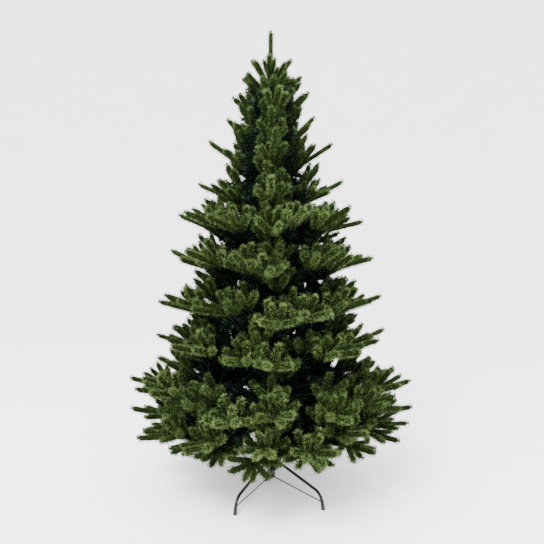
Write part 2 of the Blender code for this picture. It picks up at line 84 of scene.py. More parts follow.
@dataclass(frozen=True)
class Finish:
    """A procedural finish with a fine mottle between two near colours.

    Attributes:
        name: The material's name.
        light: The lighter base colour, linear.
        dark: The darker base colour, linear.
        roughness: Roughness of the surface.
        specular: Strength of the plain reflection.
        grain: How many mottles there are to the metre.
        bump: Height of the grain as bump, in metres.
    """

    name: str
    light: Colour
    dark: Colour
    roughness: float
    specular: float
    grain: float = 60.0
    bump: float = 0.0

    def material(self) -> bpy.types.Material:
        """Make the material, or find it again.

        Returns:
            The material of this finish.
        """
        if self.name in bpy.data.materials:
            return bpy.data.materials[self.name]
        material = bpy.data.materials.new(self.name)
        material.use_nodes = True
        nodes = material.node_tree.nodes
        links = material.node_tree.links
        shader = nodes["Principled BSDF"]
        shader.inputs["Roughness"].default_value = self.roughness
        shader.inputs["Specular IOR Level"].default_value = self.specular
        place = nodes.new("ShaderNodeTexCoord")
        grain = nodes.new("ShaderNodeTexNoise")
        grain.inputs["Scale"].default_value = self.grain
        grain.inputs["Detail"].default_value = MOTTLE_DETAIL
        links.new(place.outputs["Object"], grain.inputs["Vector"])
        ramp = nodes.new("ShaderNodeValToRGB")
        for stop, edge, colour in zip(ramp.color_ramp.elements, MOTTLE_EDGES, (self.dark, self.light)):
            stop.position = edge
            stop.color = (*colour, 1.0)
        links.new(grain.outputs["Fac"], ramp.inputs["Fac"])
        links.new(ramp.outputs["Color"], shader.inputs["Base Color"])
        if self.bump:
            bump = nodes.new("ShaderNodeBump")
            bump.inputs["Distance"].default_value = self.bump
            bump.inputs["Strength"].default_value = BUMP_STRENGTH
            links.new(grain.outputs["Fac"], bump.inputs["Height"])
            links.new(bump.outputs["Normal"], shader.inputs["Normal"])
        material.diffuse_color = (*self.light, 1.0)
        return material


NEEDLE_FINISHES = {
    Tint.FRESH: Finish("needle_fresh", (0.106, 0.151, 0.047), (0.074, 0.110, 0.030), 0.55, 0.10),
    Tint.LEAF: Finish("needle_leaf", (0.060, 0.092, 0.024), (0.037, 0.060, 0.015), 0.55, 0.08),
    # Painted shade in part: this deep green is a real deeper tone on some tips and painted shade on root
    # needles and on fans behind the rim
    Tint.DEEP: Finish("needle_deep", (0.0180, 0.0320, 0.0092), (0.0106, 0.0200, 0.0056), 0.60, 0.05),
    Tint.FILLER: Finish("needle_filler", (0.0160, 0.0360, 0.0240), (0.0075, 0.0180, 0.0120), 0.45, 0.15),
    # Painted shade: near-black for the crown's inside and the filler twigs' sleeves
    Tint.SHADE: Finish("needle_painted_shade", (0.0034, 0.0070, 0.0040), (0.0017, 0.0037, 0.0021), 0.80, 0.02),
    # Painted shade: dark root green for the tips' solid root sleeves and the root needles of dark tips
    Tint.ROOT: Finish("needle_root_painted_shade", (0.0090, 0.0155, 0.0042), (0.0055, 0.0100, 0.0026), 0.80, 0.0),
}
WIRE_TAPE = Finish("wire_tape_brown", (0.075, 0.042, 0.028), (0.035, 0.019, 0.012), 0.60, 0.2, 400.0, 0.0004)
POLE_PAINT = Finish("pole_paint_green", (0.014, 0.021, 0.013), (0.010, 0.015, 0.009), 0.42, 0.35, 25.0)
HOLDER_PLASTIC = Finish("holder_plastic", (0.010, 0.016, 0.010), (0.007, 0.011, 0.007), 0.55, 0.3, 300.0)
SOCKET_PAINT = Finish("socket_paint", (0.032, 0.040, 0.031), (0.023, 0.030, 0.023), 0.36, 0.5, 120.0, 0.0001)
BLACK_STEEL = Finish("black_steel_coat", (0.0040, 0.0040, 0.0044), (0.0022, 0.0022, 0.0025), 0.34, 0.22,
                     300.0, 0.00006)
BLACK_PLASTIC = Finish("black_plastic_moulded", (0.0060, 0.0060, 0.0060), (0.0032, 0.0032, 0.0032), 0.50,
                       0.35, 600.0)
FLOOR_PAPER = Finish("floor_paper", (0.93, 0.93, 0.93), (0.92, 0.92, 0.92), 0.9, 0.0, 2.0)


def cylindrical(reach: float, azimuth: float, height: float) -> Vector:
    """Give the place at a reach from the pole's axis and an azimuth in degrees."""
    angle = math.radians(azimuth)
    return Vector((reach * math.sin(angle), -reach * math.cos(angle), height))


def facing(azimuth: float) -> Matrix:
    """Give the turn that lays +X along an azimuth and keeps +Z up."""
    return Matrix.Rotation(math.radians(azimuth - 90.0), 4, "Z")


def straight(law: Range, value: float | np.ndarray) -> float | np.ndarray:
    """Give a straight law's start plus its slope times a value."""
    return law[0] + law[1] * value


def link(name: str, data: bpy.types.ID) -> bpy.types.Object:
    """Put data into the scene as an object.

    Args:
        name: The object's name.
        data: Its mesh, lamp or camera.

    Returns:
        The new object.
    """
    item = bpy.data.objects.new(name, data)
    bpy.context.scene.collection.objects.link(item)
    return item


def dress(piece: bpy.types.Object, finishes: list[Finish]) -> None:
    """Give a piece its finishes and its body.

    Args:
        piece: The piece.
        finishes: One finish for each of the mesh's material indices.
    """
    for finish in finishes:
        piece.data.materials.append(finish.material())
    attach(piece, BODY)
    log.info("%s: %d faces", piece.name, len(piece.data.polygons))


def mesh_piece(name: str, places: np.ndarray, faces: np.ndarray,
               indices: np.ndarray | None = None) -> bpy.types.Object:
    """Make a piece from arrays of triangles.

    Args:
        name: The piece's name.
        places: Corners, one row each.
        faces: Three corner numbers a row.
        indices: Material index of each face.

    Returns:
        The new object, linked to the scene.
    """
    mesh = bpy.data.meshes.new(name)
    mesh.vertices.add(len(places))
    mesh.vertices.foreach_set("co", places.astype(np.float32).ravel())
    mesh.loops.add(faces.size)
    mesh.loops.foreach_set("vertex_index", faces.astype(np.int32).ravel())
    mesh.polygons.add(len(faces))
    mesh.polygons.foreach_set("loop_start", np.arange(0, faces.size, 3, dtype=np.int32))
    if indices is not None:
        mesh.polygons.foreach_set("material_index", indices.astype(np.int32))
    mesh.update(calc_edges=True)
    return link(name, mesh)


@dataclass(frozen=True)
class Brush:
    """How the needles stand round a wire.

    Attributes:
        radius: How far the needles reach from the wire.
        sleeve: Radius of the dense roots, which hide the wire.
        density: Needles to the metre.
        width: Width of a needle at its root.
        lean: Lean of the needles from the wire, in degrees.
        crown: Needles on the tip's round end.
    """

    radius: float
    sleeve: float
    density: float
    width: float
    lean: float = 62.0
    crown: int = 44


TIP_BRUSH = Brush(0.0212, 0.0116, 2250.0, 0.0032)
SKY_BRUSH = Brush(0.0182, 0.0098, 3000.0, 0.0030)
FILLER_BRUSH = Brush(0.0320, 0.0120, 640.0, 0.0060, 64.0, 16)

# Painted shade: the darker tint that a tip's needles take, mostly near its root, where the fan's base lies in
# shade
PAINTED_SHADE_TINTS = {
    Tint.FRESH: Tint.DEEP,
    Tint.LEAF: Tint.DEEP,
    Tint.DEEP: Tint.ROOT,
    Tint.FILLER: Tint.SHADE,
    Tint.SHADE: Tint.ROOT,
    Tint.ROOT: Tint.ROOT,
}


def blend(**shares: int) -> tuple[Tint, ...]:
    """Give tints by name, each as often as its share says."""
    return tuple(Tint[name] for name, share in shares.items() for _ in range(share))


# Tints that single needles take, by the tint of their tip
BLENDS = {
    Tint.FRESH: blend(FRESH=3, LEAF=1, DEEP=1),
    Tint.LEAF: blend(LEAF=5, FRESH=1, DEEP=2),
    Tint.DEEP: blend(DEEP=3, LEAF=2),
    Tint.FILLER: blend(FILLER=2, SHADE=1),
    Tint.SHADE: blend(SHADE=5, FILLER=1),
}

# A direction with more height than this takes +X, not +Z, to find the directions square to it
UPRIGHT = 0.9


@dataclass(frozen=True)
class Tip:
    """One round needle tip: a wire that the needles stand out of.

    Attributes:
        root: Where the wire starts.
        axis: Its direction there.
        length: Its length.
        tint: The green of most of its needles.
        brush: How the needles stand.
        rise: How far its end bends up, as a share of its length.
        size: Size of the needles.
    """

    root: Vector
    axis: Vector
    length: float
    tint: Tint
    brush: Brush = TIP_BRUSH
    rise: float = 0.05
    size: float = 1.0

    def squares(self) -> tuple[np.ndarray, np.ndarray, np.ndarray]:
        """Give the axis and two directions square to it and to each other.

        Returns:
            The axis and the two directions.
        """
        axis = np.array(self.axis)
        across = np.cross(axis, (0.0, 0.0, 1.0) if abs(axis[2]) < UPRIGHT else (1.0, 0.0, 0.0))
        across /= np.linalg.norm(across)
        return axis, across, np.cross(axis, across)

    def centres(self, along: np.ndarray) -> np.ndarray:
        """Give the wire's places at shares of its length.

        Args:
            along: The shares.

        Returns:
            The places, one row each.
        """
        places = np.outer(along * self.length, np.array(self.axis))
        places[:, 2] += self.rise * self.length * along**2
        return places + np.array(self.root)


@dataclass
class NeedleCloud:
    """The needles of many tips, gathered for one joined mesh.

    Attributes:
        chance: The seeded source of chance.
        corners: Corners of the triangles, tip by tip.
        tints: Material index of each triangle, tip by tip.
        fewest: Fewest needles on a tip's wire.
        turn_spread: Spread of a needle's turn about the wire, in radians.
        lean_spread: Spread of its lean, in degrees.
        twists: Range of its twist about itself, in radians.
        lengths: Range of its length, as shares.
        widths: Range of its width, as shares.
        start_depth: Where needles start in the sleeve, as a share of its radius.
        end_depth: What is left of that share on the round end.
        first_length: Length of the first needles, as a share of the others'.
        growth_run: Run along the wire in which that share would grow by one.
        shade_law: Chance that a needle takes the darker tint of painted shade at the root, and its change
            along the tip.
        least_shade: Least such chance.
        longest_round: Longest rounded end of a sleeve, as a share of the tip.
        last_ring: Where the sleeve's last ring lies in that end, from its point.
        sleeve_widths: Widths of the sleeve's rings, from the root on.
        sleeve_sides: Sides of a sleeve of needle roots.
        sleeve_turn: Largest turn of a sleeve about its wire, in radians.
        blunt_end: Width of every second needle at its blunt end, as a share of the others' root width.
    """

    chance: np.random.Generator
    corners: list[np.ndarray] = field(default_factory=list)
    tints: list[np.ndarray] = field(default_factory=list)
    fewest: int = 20
    turn_spread: float = 0.3
    lean_spread: float = 6.0
    twists: Range = (-1.1, 1.1)
    lengths: Range = (0.84, 1.10)
    widths: Range = (0.8, 1.2)
    start_depth: float = 0.8
    end_depth: float = 0.35
    first_length: float = 0.60
    growth_run: float = 0.030
    shade_law: Range = (0.80, -1.5)
    least_shade: float = 0.05
    longest_round: float = 0.4
    last_ring: float = 0.3
    sleeve_widths: tuple[float, ...] = (0.50, 1.0, 1.0, 0.75, 0.0)
    sleeve_sides: int = 6
    sleeve_turn: float = 1.2
    blunt_end: float = 0.65

    def add_sleeve(self, tip: Tip) -> None:
        """Set the slim sleeve of dense needle roots round a tip's wire, coloured dark as painted shade.

        Args:
            tip: The tip.
        """
        sides = self.sleeve_sides
        _, across, over = tip.squares()
        turns = np.arange(sides) * math.tau / sides + self.chance.uniform(0.0, self.sleeve_turn)
        ring = np.outer(np.cos(turns), across) + np.outer(np.sin(turns), over)
        rounded = min(self.longest_round, tip.brush.sleeve / tip.length)
        along = np.array((0.0, rounded, 1.0 - rounded, 1.0 - self.last_ring * rounded, 1.0))
        widths = tip.brush.sleeve * tip.size * np.array(self.sleeve_widths)
        rings = tip.centres(along)[:, None, :] + ring[None, :, :] * widths[:, None, None]
        following = np.roll(np.arange(sides), -1)
        faces = []
        for low, high in zip(rings[:-1], rings[1:]):
            faces.append(np.stack((low, low[following], high[following]), axis=1))
            faces.append(np.stack((low, high[following], high), axis=1))
        faces.pop()
        self.corners.append(np.concatenate(faces))
        # Painted shade: the solid sleeve takes near-black on filler twigs and the dark root green on tips,
        # for the shade among dense needle roots
        tint = Tint.SHADE if tip.brush is FILLER_BRUSH else Tint.ROOT
        self.tints.append(np.full(len(self.corners[-1]), tint.value))

    def add_tip(self, tip: Tip) -> None:
        """Set one tip's needles round its wire.

        Args:
            tip: The tip.
        """
        chance = self.chance
        brush = tip.brush
        body = max(self.fewest, int(tip.length * brush.density))
        count = body + brush.crown
        along = np.minimum((np.arange(count) + chance.uniform(0.0, 1.0, count)) / body, 1.0)
        ending = along >= 1.0
        axis, across, over = tip.squares()
        self.add_sleeve(tip)
        turn = np.arange(count) * GOLDEN_ANGLE + chance.uniform(0.0, math.tau)
        turn = turn + chance.normal(0.0, self.turn_spread, count)
        radial = np.outer(np.cos(turn), across) + np.outer(np.sin(turn), over)
        tangent = np.tile(axis, (count, 1))
        tangent[:, 2] += 2.0 * tip.rise * along
        tangent /= np.linalg.norm(tangent, axis=1)[:, None]
        slim = np.clip(self.first_length + along * tip.length / self.growth_run, 0.0, 1.0)
        inner = brush.sleeve * self.start_depth * tip.size * np.where(ending, self.end_depth, 1.0)
        lean = np.radians(brush.lean + chance.normal(0.0, self.lean_spread, count))
        lean = np.where(ending, np.arccos(chance.uniform(math.cos(lean[0]), 1.0, count)), lean)
        outwards = math.sin(math.radians(brush.lean))
        length = (brush.radius - self.start_depth * brush.sleeve) / outwards * tip.size
        length = length * slim * chance.uniform(*self.lengths, count)
        start = tip.centres(along) + radial * inner[:, None]
        direction = tangent * np.cos(lean)[:, None] + radial * np.sin(lean)[:, None]
        side = np.cross(direction, radial)
        side /= np.maximum(np.linalg.norm(side, axis=1), 1e-6)[:, None]
        normal = np.cross(direction, side)
        twist = chance.uniform(*self.twists, count)
        side = side * np.cos(twist)[:, None] + normal * np.sin(twist)[:, None]
        half = side * (brush.width * 0.5 * tip.size * chance.uniform(*self.widths, count))[:, None]
        end = start + direction * length[:, None]
        broad = ((np.arange(count) % 2 == 1) & ~ending)[:, None]
        wide = np.where(broad, end, start)
        half = np.where(broad, half * self.blunt_end, half)
        self.corners.append(np.stack((wide - half, wide + half, np.where(broad, start, end)), axis=1))
        choices = np.array([tint.value for tint in BLENDS[tip.tint]])
        tints = choices[chance.integers(len(choices), size=count)]
        # Painted shade: needles near the root more often take their tint's darker partner, for the shade at a
        # tip's base
        shaded = np.array([PAINTED_SHADE_TINTS[tint].value for tint in Tint])
        painted_shade_chance = np.clip(straight(self.shade_law, along), self.least_shade, 1.0)
        dark = chance.uniform(0.0, 1.0, count) < painted_shade_chance
        self.tints.append(np.where(dark, shaded[tints], tints))

    def add_filler(self, root: Vector, axis: Vector, length: float) -> None:
        """Set one straight filler twig, its needles mostly near-black as painted shade with some real filler
        green.
        """
        self.add_tip(Tip(root, axis, length, Tint.SHADE, FILLER_BRUSH, 0.0))

    def piece(self, name: str) -> bpy.types.Object:
        """Join the needles into one piece.

        Args:
            name: The piece's name.

        Returns:
            The joined piece.
        """
        corners = np.concatenate(self.corners).reshape(-1, 3)
        faces = np.arange(len(corners), dtype=np.int32).reshape(-1, 3)
        return mesh_piece(name, corners, faces, np.concatenate(self.tints))


@dataclass
class WireBundle:
    """Tapering wires, gathered for one joined mesh.

    Attributes:
        sides: Sides of a wire.
        places: Corners, wire by wire.
        faces: Corner numbers of the triangles, wire by wire.
        count: Corners so far.
    """

    sides: int = 6
    places: list[np.ndarray] = field(default_factory=list)
    faces: list[np.ndarray] = field(default_factory=list)
    count: int = 0

    def add(self, points: list[Vector], root_radius: float, end_radius: float) -> None:
        """Add one wire along a line of points.

        Args:
            points: The wire's line.
            root_radius: Radius at its root.
            end_radius: Radius at its end.
        """
        line = np.array(points)
        tangent = np.gradient(line, axis=0)
        tangent /= np.linalg.norm(tangent, axis=1)[:, None]
        across = np.cross(tangent[0], (0.0, 0.0, 1.0) if abs(tangent[0][2]) < UPRIGHT else (1.0, 0.0, 0.0))
        across /= np.linalg.norm(across)
        turns = np.arange(self.sides) * math.tau / self.sides
        rings = []
        for number, (place, ahead) in enumerate(zip(line, tangent)):
            side = across - ahead * np.dot(across, ahead)
            side /= np.linalg.norm(side)
            over = np.cross(ahead, side)
            radius = root_radius + (end_radius - root_radius) * number / (len(line) - 1)
            rings.append(place + radius * (np.outer(np.cos(turns), side) + np.outer(np.sin(turns), over)))
        rings.append(line[-1][None, :])
        rings.append(line[0][None, :])
        faces = []
        for ring in range(len(line) - 1):
            for side in range(self.sides):
                a = ring * self.sides + side
                b = ring * self.sides + (side + 1) % self.sides
                faces.append((a, b, b + self.sides))
                faces.append((a, b + self.sides, a + self.sides))
        last = (len(line) - 1) * self.sides
        for side in range(self.sides):
            following = (side + 1) % self.sides
            faces.append((last + side, last + following, last + self.sides))
            faces.append((following, side, last + self.sides + 1))
        self.places.append(np.concatenate(rings))
        self.faces.append(np.array(faces) + self.count)
        self.count += len(self.places[-1])

    def piece(self, name: str) -> bpy.types.Object:
        """Join the wires into one piece, shaded smooth.

        Args:
            name: The piece's name.

        Returns:
            The joined piece.
        """
        piece = mesh_piece(name, np.concatenate(self.places), np.concatenate(self.faces))
        piece.data.shade_smooth()
        return piece


@dataclass(frozen=True)
class Tier:
    """One ring of boughs that leave the pole at one height.

    Attributes:
        pole_height: Height on the pole's axis.
        reach: Reach of the longest tips.
        tip_height: Height of the cone at that reach.
        count: Boughs in the ring.
        first: Azimuth of the first bough.
        skew: Turn of each bough's wedge.
    """

    pole_height: float
    reach: float
    tip_height: float
    count: int
    first: float
    skew: float

    @property
    def slope(self) -> float:
        """Rise of the tier's cone for each metre outwards."""
        return (self.tip_height - self.pole_height) / self.reach

    def height(self, reach: float) -> float:
        """Height of the tier's cone at a reach."""
        return self.pole_height + self.slope * reach

    def azimuths(self) -> list[float]:
        """Azimuths of the tier's boughs."""
        return [self.first + 360.0 * number / self.count for number in range(self.count)]


TIERS = (
    Tier(0.270, 0.685, 0.350, 5, 90.0, 0.0),
    Tier(0.405, 0.680, 0.475, 5, -90.0, 0.0),
    Tier(0.580, 0.545, 0.695, 4, 0.0, 9.0),
    Tier(0.755, 0.530, 0.870, 4, 4.0, -9.0),
    Tier(0.940, 0.480, 1.090, 4, -2.0, 9.0),
    Tier(1.105, 0.432, 1.275, 4, 2.0, -9.0),
    Tier(1.265, 0.340, 1.430, 4, 0.0, 9.0),
    Tier(1.410, 0.287, 1.615, 4, 0.0, -9.0),
    Tier(1.530, 0.203, 1.710, 4, 0.0, 12.0),
    Tier(1.650, 0.178, 1.820, 4, 10.0, -9.0),
)
POLE_SECTIONS = ((0.0160, 0.560), (0.0140, 1.480), (0.0095, 1.7603))
TREE_TOP = 2.100


def pole_radius(height: float) -> float:
    """Give the pole's radius at a height.

    Args:
        height: The height.

    Returns:
        The radius of the section there.
    """
    for radius, top in POLE_SECTIONS:
        if height <= top:
            return radius
    return POLE_SECTIONS[-1][0]


class Fullness(Enum):
    """How many tips a fan has."""

    RICH = "rich"
    PLAIN = "plain"
    DROOP = "droop"
    INNER = "inner"


@dataclass(frozen=True)
class HubRing:
    """One ring of hubs on a mass: where they lie and how full their fans are.

    Attributes:
        share: Reach of the hubs as a share of the bough.
        lift: Height over the cone.
        spacing: Distance from hub to hub.
        fullness: Which tips a fan has.
    """

    share: float
    lift: float
    spacing: float
    fullness: Fullness


HUB_RINGS = (
    HubRing(1.00, 0.000, 0.205, Fullness.RICH),
    HubRing(0.84, 0.078, 0.310, Fullness.PLAIN),
    HubRing(0.82, -0.055, 0.340, Fullness.PLAIN),
    HubRing(0.64, 0.050, 0.190, Fullness.INNER),
    HubRing(0.60, -0.020, 0.200, Fullness.INNER),
    HubRing(0.42, 0.050, 0.190, Fullness.INNER),
    HubRing(0.34, -0.005, 0.220, Fullness.INNER),
)
UNDER_RINGS = (
    HubRing(0.96, -0.024, 0.205, Fullness.DROOP),
    HubRing(0.84, 0.020, 0.270, Fullness.INNER),
    HubRing(0.62, -0.045, 0.250, Fullness.DROOP),
    HubRing(0.34, -0.055, 0.220, Fullness.DROOP),
)

# Tips of a fan: turn from its outward line, rise over level, and length
FANS = {
    Fullness.RICH: (
        (0.0, 6.0, 0.172),
        (30.0, 10.0, 0.138),
        (-30.0, 10.0, 0.138),
        (60.0, 20.0, 0.108),
        (-60.0, 20.0, 0.108),
        (18.0, 44.0, 0.122),
        (-20.0, 50.0, 0.116),
        (56.0, 54.0, 0.108),
        (-58.0, 56.0, 0.108),
    ),
    Fullness.PLAIN: (
        (12.0, 20.0, 0.130),
        (-36.0, 24.0, 0.120),
        (48.0, 30.0, 0.115),
        (-74.0, 34.0, 0.105),
        (-4.0, 58.0, 0.115),
    ),
    Fullness.DROOP: (
        (0.0, -9.0, 0.125),
        (38.0, -8.0, 0.120),
        (-38.0, -8.0, 0.120),
        (74.0, 0.0, 0.110),
        (-74.0, 0.0, 0.110),
        (8.0, -30.0, 0.090),
    ),
    Fullness.INNER: (
        (0.0, 22.0, 0.115),
        (62.0, 8.0, 0.115),
        (-62.0, 8.0, 0.115),
        (30.0, 62.0, 0.105),
        (-40.0, 60.0, 0.105),
        (0.0, -48.0, 0.100),
    ),
}

# Tints of a fan's tips, varying at random within each fan; plain fans behind the rim take deeper greens and
# inner fans near-black as painted shade, with some real filler green
TINTS = {
    Fullness.RICH: blend(FRESH=2, LEAF=3, DEEP=1),
    Fullness.PLAIN: blend(LEAF=1, DEEP=3),
    Fullness.DROOP: blend(FRESH=1, LEAF=3, DEEP=1),
    Fullness.INNER: blend(SHADE=4, FILLER=1),
}
WHORL_TINTS = (Tint.FRESH, Tint.LEAF, Tint.DEEP)


@dataclass(frozen=True)
class FanRule:
    """How the tips of a fan stand and vary.

    Attributes:
        wire: Radii of a tip's wire at its root and end.
        aim_spread: Spread of a tip's turn and of its rise, in degrees.
        steepest: Steepest rise of a tip, in degrees.
        lengths: Range of a tip's length, as shares.
        end_lengths: The same of an outer end tip beside its bough's middle.
        sizes: Range of the needles' size.
        size_law: Size of the needles over the fan's scale.
        shortest: Length that no tip goes under.
        rise: How far a tip bends up, as a share of its length.
        usual_tint: Chance of the fan's usual tint.
        fork_gap: How far behind its hub a tip forks off at least.
        fork_spread: How much farther behind a right angle of turn and rise sets it.
    """

    wire: Range = (0.0016, 0.0012)
    aim_spread: float = 5.0
    steepest: float = 84.0
    lengths: Range = (0.92, 1.06)
    end_lengths: Range = (0.84, 1.0)
    sizes: Range = (0.93, 1.06)
    size_law: Range = (0.72, 0.28)
    shortest: float = 0.05
    rise: float = 0.09
    usual_tint: float = 0.6
    fork_gap: float = 0.004
    fork_spread: float = 0.032


@dataclass(frozen=True)
class BoughRule:
    """How a bough, its twigs and its hubs lie and vary.

    Attributes:
        wire: Radii of a bough's wire at its root and end.
        twig_wire: The same of a twig's wire.
        bare_root: Share of a bough before its own dark needles start.
        filled: Share of a bough that has them.
        stem_gap: Distance of a bough's root from the pole.
        least_rim: Least reach of the outer hubs, as a share of the tier's reach.
        scale_law: Size of the fans over the tier's reach.
        climb_law: Climb of the fans over the cone's angle, both in degrees.
        least_climb: Least climb, in degrees.
        lift_tilt: Tilt in degrees that a metre of lift gives a fan.
        swing_spread: Spread of a hub's azimuth, in degrees.
        hub_reaches: Range of a hub's reach, as shares.
        lift_law: Share of a ring's lift over the fans' size.
        lift_spread: Spread of a hub's lift.
        leave_law: Where a twig leaves its bough, over its place across the wedge.
        farthest_leave: Farthest such place, as a share of the bough.
        twig_arch: How far a twig arches up.
    """

    wire: Range = (0.0034, 0.0020)
    twig_wire: Range = (0.0022, 0.0015)
    bare_root: float = 0.04
    filled: float = 0.9
    stem_gap: float = 0.006
    least_rim: float = 0.45
    scale_law: Range = (0.80, 0.42)
    climb_law: Range = (-9.0, 1.1)
    least_climb: float = 2.0
    lift_tilt: float = 120.0
    swing_spread: float = 2.5
    hub_reaches: Range = (0.90, 1.0)
    lift_law: Range = (0.7, 0.3)
    lift_spread: float = 0.010
    leave_law: Range = (0.75, -0.35)
    farthest_leave: float = 0.9
    twig_arch: float = 0.004


@dataclass(frozen=True)
class CoverRule:
    """How the dark twigs stand on the pole.

    Attributes:
        step: Height from one whorl to the next.
        count: Twigs in a whorl.
        length: Length of a twig.
        share: Longest twig, as a share of the tier's reach.
        start: Height of the first whorl over the boughs' roots.
        rises: Range of a twig's rise for each metre outwards.
    """

    step: float = 0.050
    count: int = 5
    length: float = 0.165
    share: float = 0.4
    start: float = 0.020
    rises: Range = (0.1, 0.5)


@dataclass(frozen=True)
class LeaderRule:
    """How the leader and its whorls stand and vary.

    Attributes:
        wire: Radii of the leader's wire at its root and end.
        wire_length: Length of that wire.
        room: Room over the leader's own tip for the ends of its needles.
        foot_depth: How far under the pole's end the leader's thick foot starts.
        foot_length: Length of that foot.
        foot_size: Size of its needles.
        twig_wire: Radii of a whorl twig's wire.
        wired: Share of a twig that its wire takes.
        turns: Range of a twig's turn, in degrees.
        heights: Range of its height.
        reaches: Range of its reach, as shares.
        size: Size of its needles.
        fork_places: Range of the place where it forks, as shares.
        fork_turn: Turn of the forks, in degrees.
        fork_length: Length of the forks, as a share of the twig's.
        fork_rise: How far the forks bend up, as a share of their length.
    """

    wire: Range = (0.0045, 0.0012)
    wire_length: float = 0.30
    room: float = 0.008
    foot_depth: float = 0.10
    foot_length: float = 0.29
    foot_size: float = 0.95
    twig_wire: Range = (0.0018, 0.0008)
    wired: float = 0.9
    turns: Range = (-6.0, 6.0)
    heights: Range = (-0.004, 0.004)
    reaches: Range = (0.90, 1.0)
    size: float = 1.05
    fork_places: Range = (0.28, 0.42)
    fork_turn: float = 38.0
    fork_length: float = 0.48
    fork_rise: float = 0.1


@dataclass(frozen=True)
class Hub:
    """One place on a bough that carries a fan of tips.

    Attributes:
        place: The hub's place.
        back: Direction back along the twig that ends there.
        outward: Azimuth of the fan's outward line.
        climb: Rise of that line, in degrees.
        fullness: Which tips the fan has.
        middle: Whether the fan ends its bough, so that its end tip has the full reach.
    """

    place: Vector
    back: Vector
    outward: float
    climb: float
    fullness: Fullness
    middle: bool


@dataclass(frozen=True)
class Whorl:
    """One small whorl of twigs round the leader.

    Attributes:
        height: Height over the pole's end.
        reach: Reach of its twigs.
        rise: Their rise.
        count: Number of twigs.
        first: Azimuth of the first twig.
    """

    height: float
    reach: float
    rise: float
    count: int
    first: float


WHORLS = (
    Whorl(0.088, 0.092, 0.124, 4, 85.0),
    Whorl(0.036, 0.140, 0.100, 5, 100.0),
    Whorl(-0.012, 0.120, 0.080, 5, 64.0),
)


